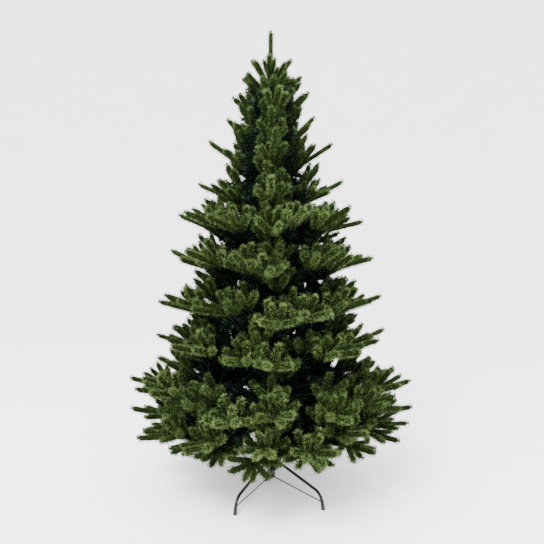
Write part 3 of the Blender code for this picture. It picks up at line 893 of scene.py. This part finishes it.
@dataclass
class Crown:
    """All boughs, twigs and needles.

    Attributes:
        tiers: The rings of boughs, from the lowest up.
        tip_back: Length of the end tips, which the outer hubs lie back from the tier's reach.
        zigzag: How far the outer hubs lie in turn above and below the cone.
        longest_tip: Length that no end tip passes.
        rounding_room: Room that a tip's wire leaves inside the reach for its round end.
        wedge_share: Share of the reach that the tips beside a bough's middle keep to.
        fan: How fans grow.
        bough: How boughs grow.
        cover: How the dark twigs on the pole grow.
        leader: How the leader grows.
        total: Faces made so far.
    """

    tiers: tuple[Tier, ...] = TIERS
    tip_back: float = 0.168
    zigzag: float = 0.020
    longest_tip: float = 0.215
    rounding_room: float = 0.011
    wedge_share: float = 0.965
    fan: FanRule = FanRule()
    bough: BoughRule = BoughRule()
    cover: CoverRule = CoverRule()
    leader: LeaderRule = LeaderRule()
    total: int = 0

    def grow_fan(self, hub: Hub, scale: float, reach: float, needles: NeedleCloud, wires: WireBundle) -> None:
        """Set one fan of tips on a hub.

        Args:
            hub: The hub.
            scale: Size of the fan.
            reach: Reach that no tip passes.
            needles: The cloud that takes the needles.
            wires: The bundle that takes the tips' wires.
        """
        chance = needles.chance
        rule = self.fan
        tints = TINTS[hub.fullness]
        usual = tints[int(chance.integers(len(tints)))]
        filler = hub.fullness is Fullness.INNER
        brush = FILLER_BRUSH if filler else TIP_BRUSH
        limit = reach * (1.0 if hub.middle else self.wedge_share) - self.rounding_room
        for turn, rise, length in FANS[hub.fullness]:
            turned = turn + chance.normal(0.0, rule.aim_spread)
            risen = rise + hub.climb * (1.0 - abs(rise) / 90.0) + chance.normal(0.0, rule.aim_spread)
            risen = math.radians(min(rule.steepest, risen))
            direction = cylindrical(math.cos(risen), hub.outward + turned, math.sin(risen))
            length = length * scale * chance.uniform(*rule.lengths)
            fork = rule.fork_gap + rule.fork_spread * scale * (abs(turn) + abs(rise)) / 90.0
            root = hub.place + hub.back * fork
            if hub.fullness is Fullness.RICH and turn == 0.0:
                ahead = (reach - math.hypot(root.x, root.y)) / math.cos(risen)
                share = 1.0 if hub.middle else chance.uniform(*rule.end_lengths)
                length = min(self.longest_tip, ahead * share)
            end = root + direction * length
            length = max(rule.shortest, length - max(0.0, math.hypot(end.x, end.y) - limit))
            tint = usual if chance.uniform() < rule.usual_tint else tints[int(chance.integers(len(tints)))]
            size = chance.uniform(*rule.sizes) * min(1.0, straight(rule.size_law, scale))
            needles.add_tip(Tip(root, direction, length, tint, brush, rule.rise, size))
            if not filler:
                wires.add([root, root + direction * length * 0.5], *rule.wire)

    def grow_mass(self, tier: Tier, azimuth: float, rings: tuple[HubRing, ...], needles: NeedleCloud,
                  wires: WireBundle) -> None:
        """Grow one bough with its twigs and fans.

        Args:
            tier: The bough's tier.
            azimuth: The bough's azimuth.
            rings: The rings of hubs on the bough.
            needles: The cloud that takes the needles.
            wires: The bundle that takes the wires.
        """
        chance = needles.chance
        rule = self.bough
        half = 180.0 / tier.count
        root_reach = pole_radius(tier.pole_height) + rule.stem_gap
        start = cylindrical(root_reach, azimuth, tier.height(root_reach))
        rim = max(tier.reach - self.tip_back, rule.least_rim * tier.reach)
        end = cylindrical(rim, azimuth, tier.height(rim))
        path = end - start
        wires.add([start, start.lerp(end, 0.5), end], *rule.wire)
        needles.add_filler(start + path * rule.bare_root, path.normalized(), path.length * rule.filled)
        scale = min(1.0, straight(rule.scale_law, tier.reach))
        climb = max(rule.least_climb, straight(rule.climb_law, math.degrees(math.atan(tier.slope))))
        for ring in rings:
            hub_reach = rim * ring.share
            arc = hub_reach * math.radians(2.0 * half)
            outer = ring.fullness is Fullness.RICH
            count = max(1, round(arc / ring.spacing))
            if outer:
                count += 1 - count % 2
            for number in range(count):
                share = (2.0 * number + 1.0) / count - 1.0
                middle = outer and number == count // 2
                swing = share * half + (0.0 if middle else tier.skew + chance.normal(0.0, rule.swing_spread))
                local = hub_reach * (1.0 if middle else chance.uniform(*rule.hub_reaches))
                lift = ring.lift * straight(rule.lift_law, scale) + chance.normal(0.0, rule.lift_spread)
                if outer:
                    side = 1.0 if (number + count // 2) % 2 else -1.0
                    lift = 0.0 if middle else self.zigzag * side + lift
                place = cylindrical(local, azimuth + swing, tier.height(local) + lift)
                leaving = min(rule.farthest_leave, ring.share * straight(rule.leave_law, abs(share)))
                leave = start.lerp(end, leaving)
                twig = place - leave
                if not middle:
                    wires.add([leave, leave.lerp(place, 0.5) + UP * rule.twig_arch, place], *rule.twig_wire)
                    needles.add_filler(leave, twig.normalized(), twig.length)
                tilt = climb + lift * rule.lift_tilt
                hub = Hub(place, -twig.normalized(), azimuth + swing, tilt, ring.fullness, middle)
                self.grow_fan(hub, scale, tier.reach, needles, wires)

    def cover_pole(self, low: float, high: float, length: float, needles: NeedleCloud) -> None:
        """Close the crown's middle with whorls of filler twigs on the pole, dark as painted shade.

        Args:
            low: Height of the first whorl.
            high: Height that no whorl passes.
            length: Length of the twigs.
            needles: The cloud that takes the needles.
        """
        chance = needles.chance
        rule = self.cover
        for level in range(max(1, int((high - low) / rule.step))):
            height = low + rule.step * level
            turn = chance.uniform(0.0, 360.0)
            for number in range(rule.count):
                azimuth = turn + 360.0 * number / rule.count
                foot = height + chance.uniform(0.0, rule.step)
                root = cylindrical(pole_radius(height), azimuth, foot)
                direction = (cylindrical(1.0, azimuth, 0.0) + UP * chance.uniform(*rule.rises)).normalized()
                needles.add_filler(root, direction, length)

    def grow_tier(self, number: int) -> None:
        """Grow one tier and stand it in for that tier's masses.

        Args:
            number: The tier, counted from 0 at the lowest.
        """
        tier = self.tiers[number]
        needles = NeedleCloud(np.random.default_rng(SEED + 100 * number))
        wires = WireBundle()
        rings = HUB_RINGS + UNDER_RINGS if number == 0 else HUB_RINGS
        for azimuth in tier.azimuths():
            self.grow_mass(tier, azimuth, rings, needles, wires)
        above = self.tiers[number + 1].pole_height if number + 1 < len(self.tiers) else POLE_SECTIONS[-1][1]
        length = min(self.cover.length, self.cover.share * tier.reach)
        self.cover_pole(tier.pole_height + self.cover.start, above, length, needles)
        names = [f"mass_tier_{number + 1}_{bough + 1}" for bough in range(tier.count)]
        self.finish(f"tier_{number + 1}", needles, wires, names)

    def grow_leader(self) -> None:
        """Grow the upright leader with its small whorls."""
        chance = np.random.default_rng(SEED - 1)
        rule = self.leader
        needles = NeedleCloud(chance)
        wires = WireBundle()
        root = Vector((0.0, 0.0, POLE_SECTIONS[-1][1]))
        wires.add([root, root + UP * rule.wire_length], *rule.wire)
        needles.add_tip(Tip(root, UP, TREE_TOP - root.z - rule.room, Tint.LEAF, SKY_BRUSH, 0.0))
        foot = root - UP * rule.foot_depth
        needles.add_tip(Tip(foot, UP, rule.foot_length, Tint.LEAF, TIP_BRUSH, 0.0, rule.foot_size))
        for whorl in WHORLS:
            for number in range(whorl.count):
                azimuth = whorl.first + 360.0 * number / whorl.count + chance.uniform(*rule.turns)
                base = root + UP * (whorl.height + chance.uniform(*rule.heights))
                reach = whorl.reach * chance.uniform(*rule.reaches)
                path = cylindrical(reach, azimuth, base.z + whorl.rise) - base
                tint = WHORL_TINTS[int(chance.integers(len(WHORL_TINTS)))]
                needles.add_tip(Tip(base, path.normalized(), path.length, tint, SKY_BRUSH, 0.0, rule.size))
                wires.add([base, base + path * rule.wired], *rule.twig_wire)
                for side in (-1.0, 1.0):
                    fork = base + path * chance.uniform(*rule.fork_places)
                    turned = Matrix.Rotation(math.radians(rule.fork_turn * side), 3, "Z") @ path.normalized()
                    length = path.length * rule.fork_length
                    needles.add_tip(Tip(fork, turned, length, tint, SKY_BRUSH, rule.fork_rise))
        self.finish("leader", needles, wires, ["mass_leader"])

    def finish(self, name: str, needles: NeedleCloud, wires: WireBundle, nodes: list[str]) -> None:
        """Args:
            name: The part's name.
            needles: Its needles.
            wires: Its wires.
            nodes: The nodes that its needles stand in for.
        """
        cloud = needles.piece(f"needles_{name}")
        dress(cloud, [NEEDLE_FINISHES[tint] for tint in Tint])
        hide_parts(*nodes)
        bundle = wires.piece(f"twigs_{name}")
        dress(bundle, [WIRE_TAPE])
        self.total += len(cloud.data.polygons) + len(bundle.data.polygons)

    def build(self) -> None:
        """Grow every tier and the leader."""
        for number in range(len(self.tiers)):
            self.grow_tier(number)
        self.grow_leader()
        log.info("crown: %d faces", self.total)


@dataclass
class Metalwork:
    """Turned, swept and cut shapes, gathered for one joined mesh."""

    shape: bmesh.types.BMesh = field(default_factory=bmesh.new)

    def bridge(self, low: list[bmesh.types.BMVert], high: list[bmesh.types.BMVert]) -> None:
        """Fill the band between two rings of corners, either of which may be one point.

        Args:
            low: The first ring.
            high: The second ring.
        """
        steps = max(len(low), len(high))
        for step in range(steps):
            following = (step + 1) % steps
            corners = [low[step % len(low)], low[following % len(low)], high[following % len(high)],
                       high[step % len(high)]]
            self.shape.faces.new(list(dict.fromkeys(corners)))

    def turn(self, profile: Profile, place: Matrix | None = None, steps: int = 64,
             closed: bool = False) -> None:
        """Turn a profile about +Z.

        Args:
            profile: (radius, height) points.
            place: Where the turned shape goes.
            steps: Sides of the turned shape.
            closed: Whether the last point joins the first.
        """
        place = place or Matrix.Identity(4)
        rings = []
        for radius, height in profile:
            sides = 1 if radius < 1e-6 else steps
            ring = []
            for step in range(sides):
                angle = math.tau * step / sides
                local = Vector((radius * math.cos(angle), radius * math.sin(angle), height))
                ring.append(self.shape.verts.new(place @ local))
            rings.append(ring)
        for low, high in zip(rings, rings[1:]):
            self.bridge(low, high)
        if closed:
            self.bridge(rings[-1], rings[0])

    def sweep(self, points: list[Vector], sections: Profile, across: Vector, sides: int = 24) -> None:
        """Draw an oval bar along a line that lies in one plane.

        Args:
            points: The line.
            sections: (half width across the plane, half height in it) at each point.
            across: The plane's normal.
            sides: Sides of the bar.
        """
        rings = []
        last = len(points) - 1
        for number, (place, (width, height)) in enumerate(zip(points, sections)):
            ahead = (points[min(last, number + 1)] - points[max(0, number - 1)]).normalized()
            over = ahead.cross(across).normalized()
            ring = []
            for step in range(sides):
                angle = math.tau * step / sides
                ring.append(self.shape.verts.new(place + across * width * math.cos(angle)
                                                 + over * height * math.sin(angle)))
            rings.append(ring)
        for low, high in zip(rings, rings[1:]):
            self.bridge(low, high)
        self.shape.faces.new(list(reversed(rings[0])))
        self.shape.faces.new(rings[-1])

    def plate(self, outline: Profile, thickness: float, place: Matrix, bevel: float = 0.0004) -> None:
        """Cut a flat plate and ease its edges.

        Args:
            outline: Its (x, z) outline.
            thickness: Its thickness along Y.
            place: Where it goes.
            bevel: Width of the eased edge.
        """
        sides = []
        for sign in (-0.5, 0.5):
            sides.append([self.shape.verts.new(place @ Vector((x, sign * thickness, z))) for x, z in outline])
        faces = [self.shape.faces.new(sides[0]), self.shape.faces.new(list(reversed(sides[1])))]
        edges = [edge for face in faces for edge in face.edges]
        self.bridge(sides[0], sides[1])
        bmesh.ops.bevel(self.shape, geom=edges, offset=bevel, segments=2, affect="EDGES", profile=0.5)

    def rivet(self, place: Matrix, radius: float, height: float) -> None:
        """Set one domed rivet head that stands on its place along +Z.

        Args:
            place: Where it stands.
            radius: Its radius.
            height: Its height.
        """
        profile = [(0.0, -0.5 * height), (radius, -0.5 * height)]
        for step in range(6):
            angle = 0.5 * math.pi * step / 5
            profile.append((radius * math.cos(angle), height * math.sin(angle)))
        profile[-1] = (0.0, height)
        self.turn(profile, place, 20)

    def finish(self, name: str, slot: str, finish: Finish, node: str = "") -> None:
        """Finish the mesh as one piece.

        Args:
            name: The piece's name.
            slot: A material slot name; not used.
            finish: Its finish.
            node: The node that it stands in for, if any.
        """
        bmesh.ops.recalc_face_normals(self.shape, faces=self.shape.faces)
        mesh = bpy.data.meshes.new(name)
        self.shape.to_mesh(mesh)
        self.shape.free()
        mesh.shade_smooth()
        mesh.set_sharp_from_angle(angle=math.radians(SHARP_ANGLE))
        piece = link(name, mesh)
        dress(piece, [finish])
        if node:
            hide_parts(node)


def rounding(centre: tuple[float, float], radius: float, start: float, end: float, steps: int = 6) -> Profile:
    """Give the points of an arc in a profile.

    Args:
        centre: The arc's centre as (radius, height).
        radius: The arc's radius.
        start: Its first angle in degrees, from outwards towards up.
        end: Its last angle.
        steps: Its steps.

    Returns:
        The arc's points.
    """
    points = []
    for step in range(steps + 1):
        angle = math.radians(start + (end - start) * step / steps)
        points.append((centre[0] + radius * math.cos(angle), centre[1] + radius * math.sin(angle)))
    return points


@dataclass
class Pole:
    """The three plugged pole sections and the holders that the boughs hang in.

    Attributes:
        lip: How far a section's rolled mouth stands proud.
        mouth: Height of that rolled mouth.
        holder_wall: Thickness of a holder's ring.
        holder_height: Height of a holder.
        cheek_reach: How far a holder's cheeks stand out of its ring.
        cheek_gap: Gap between a pair of cheeks.
        cheek_thickness: Thickness of one cheek.
        pin_radius: Radius of the hinge pin.
    """

    lip: float = 0.0007
    mouth: float = 0.0050
    holder_wall: float = 0.0022
    holder_height: float = 0.0200
    cheek_reach: float = 0.0110
    cheek_gap: float = 0.0076
    cheek_thickness: float = 0.0018
    pin_radius: float = 0.0014

    def build_sections(self) -> None:
        """Turn the pole with its rolled mouths and its rounded end."""
        low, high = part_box("pole")
        work = Metalwork()
        profile = [(0.0, low[2]), (POLE_SECTIONS[0][0], low[2])]
        for (radius, top), (slimmer, _) in zip(POLE_SECTIONS, POLE_SECTIONS[1:]):
            bead = self.mouth / 2
            profile.append((radius, top - self.mouth - 0.002))
            profile += rounding((radius - bead + self.lip, top - bead), bead, -75.0, 90.0, 8)
            profile.append((slimmer + 0.0002, top - 0.0008))
            profile.append((slimmer, top + 0.0004))
        radius = POLE_SECTIONS[-1][0]
        profile += rounding((radius - 0.002, high[2] - 0.002), 0.002, 0.0, 90.0, 4)
        profile.append((0.0, high[2]))
        work.turn(profile)
        work.finish("pole_tubes", "pole", POLE_PAINT, "pole")

    def build_holders(self) -> None:
        """Set one ring with a pair of cheeks and a pin for each bough round the pole at each tier."""
        work = Metalwork()
        for tier in TIERS:
            radius = pole_radius(tier.pole_height) + CLEARANCE
            outer = radius + self.holder_wall
            half = self.holder_height / 2
            edge = 0.0008
            middle = tier.pole_height
            profile = [(radius, middle - half), (outer - edge, middle - half), (outer, middle - half + edge),
                       (outer, middle + half - edge), (outer - edge, middle + half), (radius, middle + half)]
            work.turn(profile, steps=40, closed=True)
            for azimuth in tier.azimuths():
                self.add_cheeks(work, azimuth, outer, middle)
        work.finish("bough_holders", "pole", HOLDER_PLASTIC)

    def add_cheeks(self, work: Metalwork, azimuth: float, outer: float, middle: float) -> None:
        """Add the two cheeks and the pin that hold one bough.

        Args:
            work: The shape that takes them.
            azimuth: The bough's azimuth.
            outer: Radius of the holder's ring.
            middle: Height of the holder's middle.
        """
        half = self.holder_height * 0.40
        centre = outer + self.cheek_reach - half
        outline = [(outer - 0.001, -half), (centre, -half)]
        outline += rounding((centre, 0.0), half, -90.0, 90.0, 8)[1:]
        outline.append((outer - 0.001, half))
        turn = Matrix.Translation(UP * middle) @ facing(azimuth)
        for side in (-1.0, 1.0):
            across = side * (self.cheek_gap + self.cheek_thickness) / 2
            work.plate(outline, self.cheek_thickness, turn @ Matrix.Translation((0.0, across, 0.0)))
        pin = self.cheek_gap / 2 + self.cheek_thickness + 0.0008
        lay = turn @ Matrix.Translation((centre, 0.0, 0.0)) @ Matrix.Rotation(math.radians(90.0), 4, "X")
        work.turn([(0.0, -pin), (self.pin_radius, -pin), (self.pin_radius, pin), (0.0, pin)], lay, 12)

    def build(self) -> None:
        """Build the pole and its holders."""
        self.build_sections()
        self.build_holders()


@dataclass
class Stand:
    """The folding stand: socket, bottom cap, collar, four bent legs with feet, and braces.

    Attributes:
        wall: Thickness of the socket's wall.
        cap_round: Rounding of the cap's foot.
        collar_wall: Thickness of the collar's ring.
        cheek_thickness: Thickness of a hinge cheek.
        cheek_half: Half the height of a hinge cheek.
        hinge_reach: Reach of the hinge rivets.
        leg_azimuths: Azimuths of the legs, one for each numbered node.
        leg_radius: Radius of a leg.
        leg_flat: Half width and half height of a leg's pressed end.
        leg_flat_length: Length of the change from pressed to round.
        foot_reach: Reach of a leg's line on the floor.
        bend_reach: Reach of the corner that the bend rounds.
        bend_height: Height of that corner.
        bend_radius: Radius of the bend.
        foot_radius: Radius of a foot.
        foot_length: Length of a foot.
        brace_radius: Radius of a brace.
        brace_start: Height of a brace at the cap.
        brace_end: Height of a brace at the leg.
    """

    wall: float = 0.0016
    cap_round: float = 0.0050
    collar_wall: float = 0.0031
    cheek_thickness: float = 0.0022
    cheek_half: float = 0.0080
    hinge_reach: float = 0.0335
    leg_azimuths: tuple[float, ...] = (-23.5, 36.5, 156.5, 216.5)
    leg_radius: float = 0.0066
    leg_flat: tuple[float, float] = (0.0032, 0.0072)
    leg_flat_length: float = 0.0260
    foot_reach: float = 0.3870
    bend_reach: float = 0.3720
    bend_height: float = 0.0660
    bend_radius: float = 0.0560
    foot_radius: float = 0.0086
    foot_length: float = 0.0240
    brace_radius: float = 0.0026
    brace_start: float = 0.0110
    brace_end: float = 0.0310

    def collar_middle(self) -> float:
        """Height of the collar's middle, where the legs hinge."""
        low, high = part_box("stand_collar")
        return (low[2] + high[2]) / 2

    def drop(self) -> Vector:
        """Direction of a leg's last run, as (reach, height)."""
        return (Vector((self.foot_reach, 0.0)) - Vector((self.bend_reach, self.bend_height))).normalized()

    def build_socket(self) -> None:
        """Turn the tube that takes the pole, with its rolled rim."""
        low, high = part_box("stand_socket")
        outer = high[0]
        inner = outer - self.wall
        bead = 0.0014
        profile = [(inner, low[2]), (inner, high[2] - bead)]
        profile += rounding((outer - bead + 0.0004, high[2] - bead), bead, 90.0, -60.0, 8)
        profile += [(outer, high[2] - 2.6 * bead), (outer, low[2])]
        work = Metalwork()
        work.turn(profile, closed=True)
        work.finish("socket_tube", "socket", SOCKET_PAINT, "stand_socket")

    def build_cap(self) -> None:
        """Turn the rounded cup under the socket, with a moulded groove."""
        low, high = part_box("stand_bottom_cap")
        outer = high[0]
        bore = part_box("stand_socket")[1][0] + CLEARANCE
        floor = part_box("stand_socket")[0][2] - CLEARANCE
        groove = high[2] - 0.0045
        profile = [(0.0, floor), (bore, floor), (bore, high[2] - 0.0004), (bore + 0.0004, high[2])]
        profile += rounding((outer - 0.0009, high[2] - 0.0009), 0.0009, 90.0, 0.0, 4)
        profile += [(outer, groove + 0.0007), (outer - 0.0005, groove), (outer, groove - 0.0007)]
        profile += rounding((outer - self.cap_round, low[2] + self.cap_round), self.cap_round, 0.0, -90.0, 10)
        profile += [(0.0100, low[2]), (0.0092, low[2] + 0.0010), (0.0, low[2] + 0.0010)]
        work = Metalwork()
        work.turn(profile)
        work.finish("bottom_cap", "black_plastic", BLACK_PLASTIC, "stand_bottom_cap")

    def build_collar(self) -> None:
        """Turn the collar and set a riveted pair of cheeks for each leg on it."""
        low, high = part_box("stand_collar")
        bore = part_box("stand_socket")[1][0] + CLEARANCE
        outer = bore + self.collar_wall
        edge = 0.0009
        profile = [(bore, low[2]), (outer - edge, low[2]), (outer, low[2] + edge), (outer, high[2] - edge),
                   (outer - edge, high[2]), (bore, high[2])]
        work = Metalwork()
        work.turn(profile, closed=True)
        middle = self.collar_middle()
        half = self.cheek_half
        gap = 2.0 * self.leg_flat[0] + 0.0006
        outline = [(outer - 0.001, -half), (self.hinge_reach, -half)]
        outline += rounding((self.hinge_reach, 0.0), half, -90.0, 90.0, 10)[1:]
        outline.append((outer - 0.001, half))
        for azimuth in self.leg_azimuths:
            turn = Matrix.Translation(UP * middle) @ facing(azimuth)
            for side in (-1.0, 1.0):
                across = side * (gap + self.cheek_thickness) / 2
                work.plate(outline, self.cheek_thickness, turn @ Matrix.Translation((0.0, across, 0.0)))
                face = side * (gap / 2 + self.cheek_thickness)
                lay = Matrix.Rotation(math.radians(-90.0 * side), 4, "X")
                work.rivet(turn @ Matrix.Translation((self.hinge_reach, face, 0.0)) @ lay, 0.0036, 0.0016)
        work.finish("hinge_collar", "black_steel", BLACK_STEEL, "stand_collar")

    def leg_line(self) -> tuple[Profile, Profile]:
        """Give the line of a leg and its sections.

        Returns:
            (reach, height) points, and (half width, half height) at each.
        """
        start = Vector((self.hinge_reach - 0.006, self.collar_middle()))
        corner = Vector((self.bend_reach, self.bend_height))
        foot = Vector((self.foot_reach, 0.0))
        run = (corner - start).normalized()
        drop = self.drop()
        turn = run.angle(drop)
        arc_start = corner - run * (self.bend_radius * math.tan(turn / 2))
        inward = Vector((run.y, -run.x))
        centre = arc_start + inward * self.bend_radius
        line = []
        sections = []
        for share in (0.0, 0.35, 0.5, 0.65, 0.8, 1.0):
            line.append(start + run * (self.leg_flat_length * share))
            ease = max(0.0, (share - 0.35) / 0.65)
            ease = ease * ease * (3.0 - 2.0 * ease)
            sections.append(tuple(flat + (self.leg_radius - flat) * ease for flat in self.leg_flat))
        for step in range(17):
            angle = turn * step / 16
            line.append(centre + (-inward * math.cos(angle) + run * math.sin(angle)) * self.bend_radius)
        line.append(foot - drop * (self.foot_length * 0.78))
        sections += [(self.leg_radius, self.leg_radius)] * (len(line) - len(sections))
        return [tuple(place) for place in line], sections

    def build_legs(self) -> None:
        """Bend the four legs from tube, with a pressed end in the hinge."""
        line, sections = self.leg_line()
        for number, azimuth in enumerate(self.leg_azimuths, start=1):
            work = Metalwork()
            across = facing(azimuth).to_3x3() @ Vector((0.0, 1.0, 0.0))
            work.sweep([cylindrical(reach, azimuth, height) for reach, height in line], sections, across)
            work.finish(f"leg_{number}", "black_steel", BLACK_STEEL, f"stand_leg_{number}")

    def foot_place(self, azimuth: float) -> Matrix:
        """Give the place of a foot, with +Z up its leg's last run.

        Args:
            azimuth: The leg's azimuth.

        Returns:
            The foot's place.
        """
        drop = self.drop()
        tilt = math.atan2(drop.x, -drop.y)
        ground = Matrix.Translation(cylindrical(self.foot_reach, azimuth, 0.0))
        return ground @ facing(azimuth) @ Matrix.Rotation(-tilt, 4, "Y")

    def build_feet(self) -> None:
        """Turn the plastic feet and cut them flat on the floor."""
        radius = self.foot_radius
        top = self.foot_length
        profile = [(0.0, -0.008), (radius, -0.008), (radius, 0.0045), (radius - 0.0005, 0.0058),
                   (radius - 0.0005, top - 0.0048), (radius, top - 0.0040)]
        profile += rounding((radius - 0.0008, top - 0.0008), 0.0008, 0.0, 90.0, 3)
        bore = self.leg_radius + CLEARANCE
        profile += [(bore, top), (bore, top * 0.75), (0.0, top * 0.75)]
        for number, azimuth in enumerate(self.leg_azimuths, start=1):
            work = Metalwork()
            work.turn(profile, self.foot_place(azimuth), 36)
            parts = list(work.shape.verts) + list(work.shape.edges) + list(work.shape.faces)
            cut = bmesh.ops.bisect_plane(work.shape, geom=parts, plane_co=(0.0, 0.0, 0.0), plane_no=UP,
                                         clear_inner=True)
            rim = [part for part in cut["geom_cut"] if isinstance(part, bmesh.types.BMEdge)]
            bmesh.ops.contextual_create(work.shape, geom=rim)
            work.finish(f"foot_{number}", "black_plastic", BLACK_PLASTIC, f"stand_foot_{number}")

    def build_braces(self) -> None:
        """Draw the thin braces, each with a ferrule at the cap and a pressed eye in a band on its leg."""
        cap_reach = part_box("stand_bottom_cap")[1][0]
        drop = self.drop()
        leg_reach = self.foot_reach + self.brace_end * drop.x / drop.y
        band = self.leg_radius + 0.0010
        rod = self.brace_radius
        for number, azimuth in enumerate(self.leg_azimuths, start=1):
            start = cylindrical(cap_reach + 0.0001, azimuth, self.brace_start)
            end = cylindrical(leg_reach - band - 0.0003, azimuth, self.brace_end)
            length = (end - start).length
            stops = (0.0, 0.0055, 0.0062, 0.0100, length - 0.0120, length - 0.0070, length - 0.0025, length)
            sections = [(0.0036, 0.0036), (0.0036, 0.0036), (0.0030, 0.0030), (rod, rod), (rod, rod),
                        (0.0015, 0.0038), (0.0015, 0.0040), (0.0015, 0.0026)]
            work = Metalwork()
            across = facing(azimuth).to_3x3() @ Vector((0.0, 1.0, 0.0))
            work.sweep([start.lerp(end, stop / length) for stop in stops], sections, across, 16)
            ring = self.foot_place(azimuth) @ Matrix.Translation((0.0, 0.0, self.brace_end / -drop.y))
            inner = self.leg_radius + 0.0001
            work.turn([(inner, -0.0040), (band - 0.0003, -0.0040), (band, -0.0036), (band, 0.0036),
                       (band - 0.0003, 0.0040), (inner, 0.0040)], ring, 36, closed=True)
            work.finish(f"brace_{number}", "black_steel", BLACK_STEEL, f"stand_brace_{number}")

    def build(self) -> None:
        """Build every piece of the stand."""
        self.build_socket()
        self.build_cap()
        self.build_collar()
        self.build_legs()
        self.build_feet()
        self.build_braces()


@dataclass
class Studio:
    """The pale sweep, the soft lights and the camera.

    Attributes:
        light: Strength of the white surroundings.
        floor_radius: Radius of the flat floor.
        sweep_radius: Radius of the curve that ends it.
        sweep_steps: Steps of that curve.
        camera_place: Where the camera stands.
        camera_pitch: How far it looks down, in degrees.
        lens: Its focal length in millimetres.
        sensor: Width of its sensor in millimetres.
        lamps: Name, place, power and size of each lamp.
        lamp_aim: Height on the pole's axis that the lamps face.
    """

    light: float = 3.7
    floor_radius: float = 3.5
    sweep_radius: float = 7.0
    sweep_steps: int = 24
    camera_place: tuple[float, float, float] = (0.0056, -2.8, 1.35)
    camera_pitch: float = 6.9
    lens: float = 39.74
    sensor: float = 36.0
    lamps: tuple[tuple[str, tuple[float, float, float], float, float], ...] = (
        ("key", (-1.6, -3.2, 4.6), 720.0, 2.0),
        ("fill", (3.0, -3.0, 2.6), 90.0, 2.4),
    )
    lamp_aim: float = 0.9

    def build_floor(self) -> None:
        """Make the floor, which curves up far behind the tree."""
        profile = [Vector((0.001, 0.0, 0.0)), Vector((self.floor_radius, 0.0, 0.0))]
        for step in range(1, self.sweep_steps + 1):
            angle = math.radians(90.0 * step / self.sweep_steps)
            profile.append(Vector((self.floor_radius + self.sweep_radius * math.sin(angle), 0.0,
                                   self.sweep_radius * (1.0 - math.cos(angle)))))
        shape = bmesh.new()
        corners = [shape.verts.new(place) for place in profile]
        edges = [shape.edges.new(pair) for pair in zip(corners, corners[1:])]
        bmesh.ops.spin(shape, geom=corners + edges, axis=UP, cent=(0.0, 0.0, 0.0), angle=math.tau, steps=96)
        bmesh.ops.remove_doubles(shape, verts=shape.verts, dist=0.0005)
        mesh = bpy.data.meshes.new("floor")
        shape.to_mesh(mesh)
        shape.free()
        mesh.shade_smooth()
        floor = link("floor", mesh)
        mesh.materials.append(FLOOR_PAPER.material())

    def build_light(self) -> None:
        """Set the even white surroundings and the soft lamps."""
        world = bpy.data.worlds.new("studio")
        bpy.context.scene.world = world
        world.use_nodes = True
        background = world.node_tree.nodes["Background"]
        background.inputs["Color"].default_value = (1.0, 1.0, 1.0, 1.0)
        background.inputs["Strength"].default_value = self.light
        for name, place, energy, size in self.lamps:
            lamp = bpy.data.lights.new(name, "AREA")
            lamp.energy = energy
            lamp.size = size
            holder = link(name, lamp)
            holder.location = place
            aim = Vector((0.0, 0.0, self.lamp_aim)) - Vector(place)
            holder.rotation_euler = aim.to_track_quat("-Z", "Y").to_euler()

    def build_camera(self) -> None:
        """Set the camera where the photograph was taken from."""
        lens = bpy.data.cameras.new("camera")
        lens.lens = self.lens
        lens.sensor_width = self.sensor
        camera = link("camera", lens)
        camera.location = self.camera_place
        camera.rotation_euler = (math.radians(90.0 - self.camera_pitch), 0.0, 0.0)
        bpy.context.scene.camera = camera

    def build(self) -> None:
        """Build floor, light and camera."""
        self.build_floor()
        self.build_light()
        self.build_camera()
        log.info("studio ready")


def main() -> None:
    """Build the crown, the pole, the stand and the studio."""
    logging.basicConfig(level=logging.INFO, format="%(name)s: %(message)s")
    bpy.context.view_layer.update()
    Crown().build()
    Pole().build()
    Stand().build()
    Studio().build()


if __name__ == "__main__":
    main()
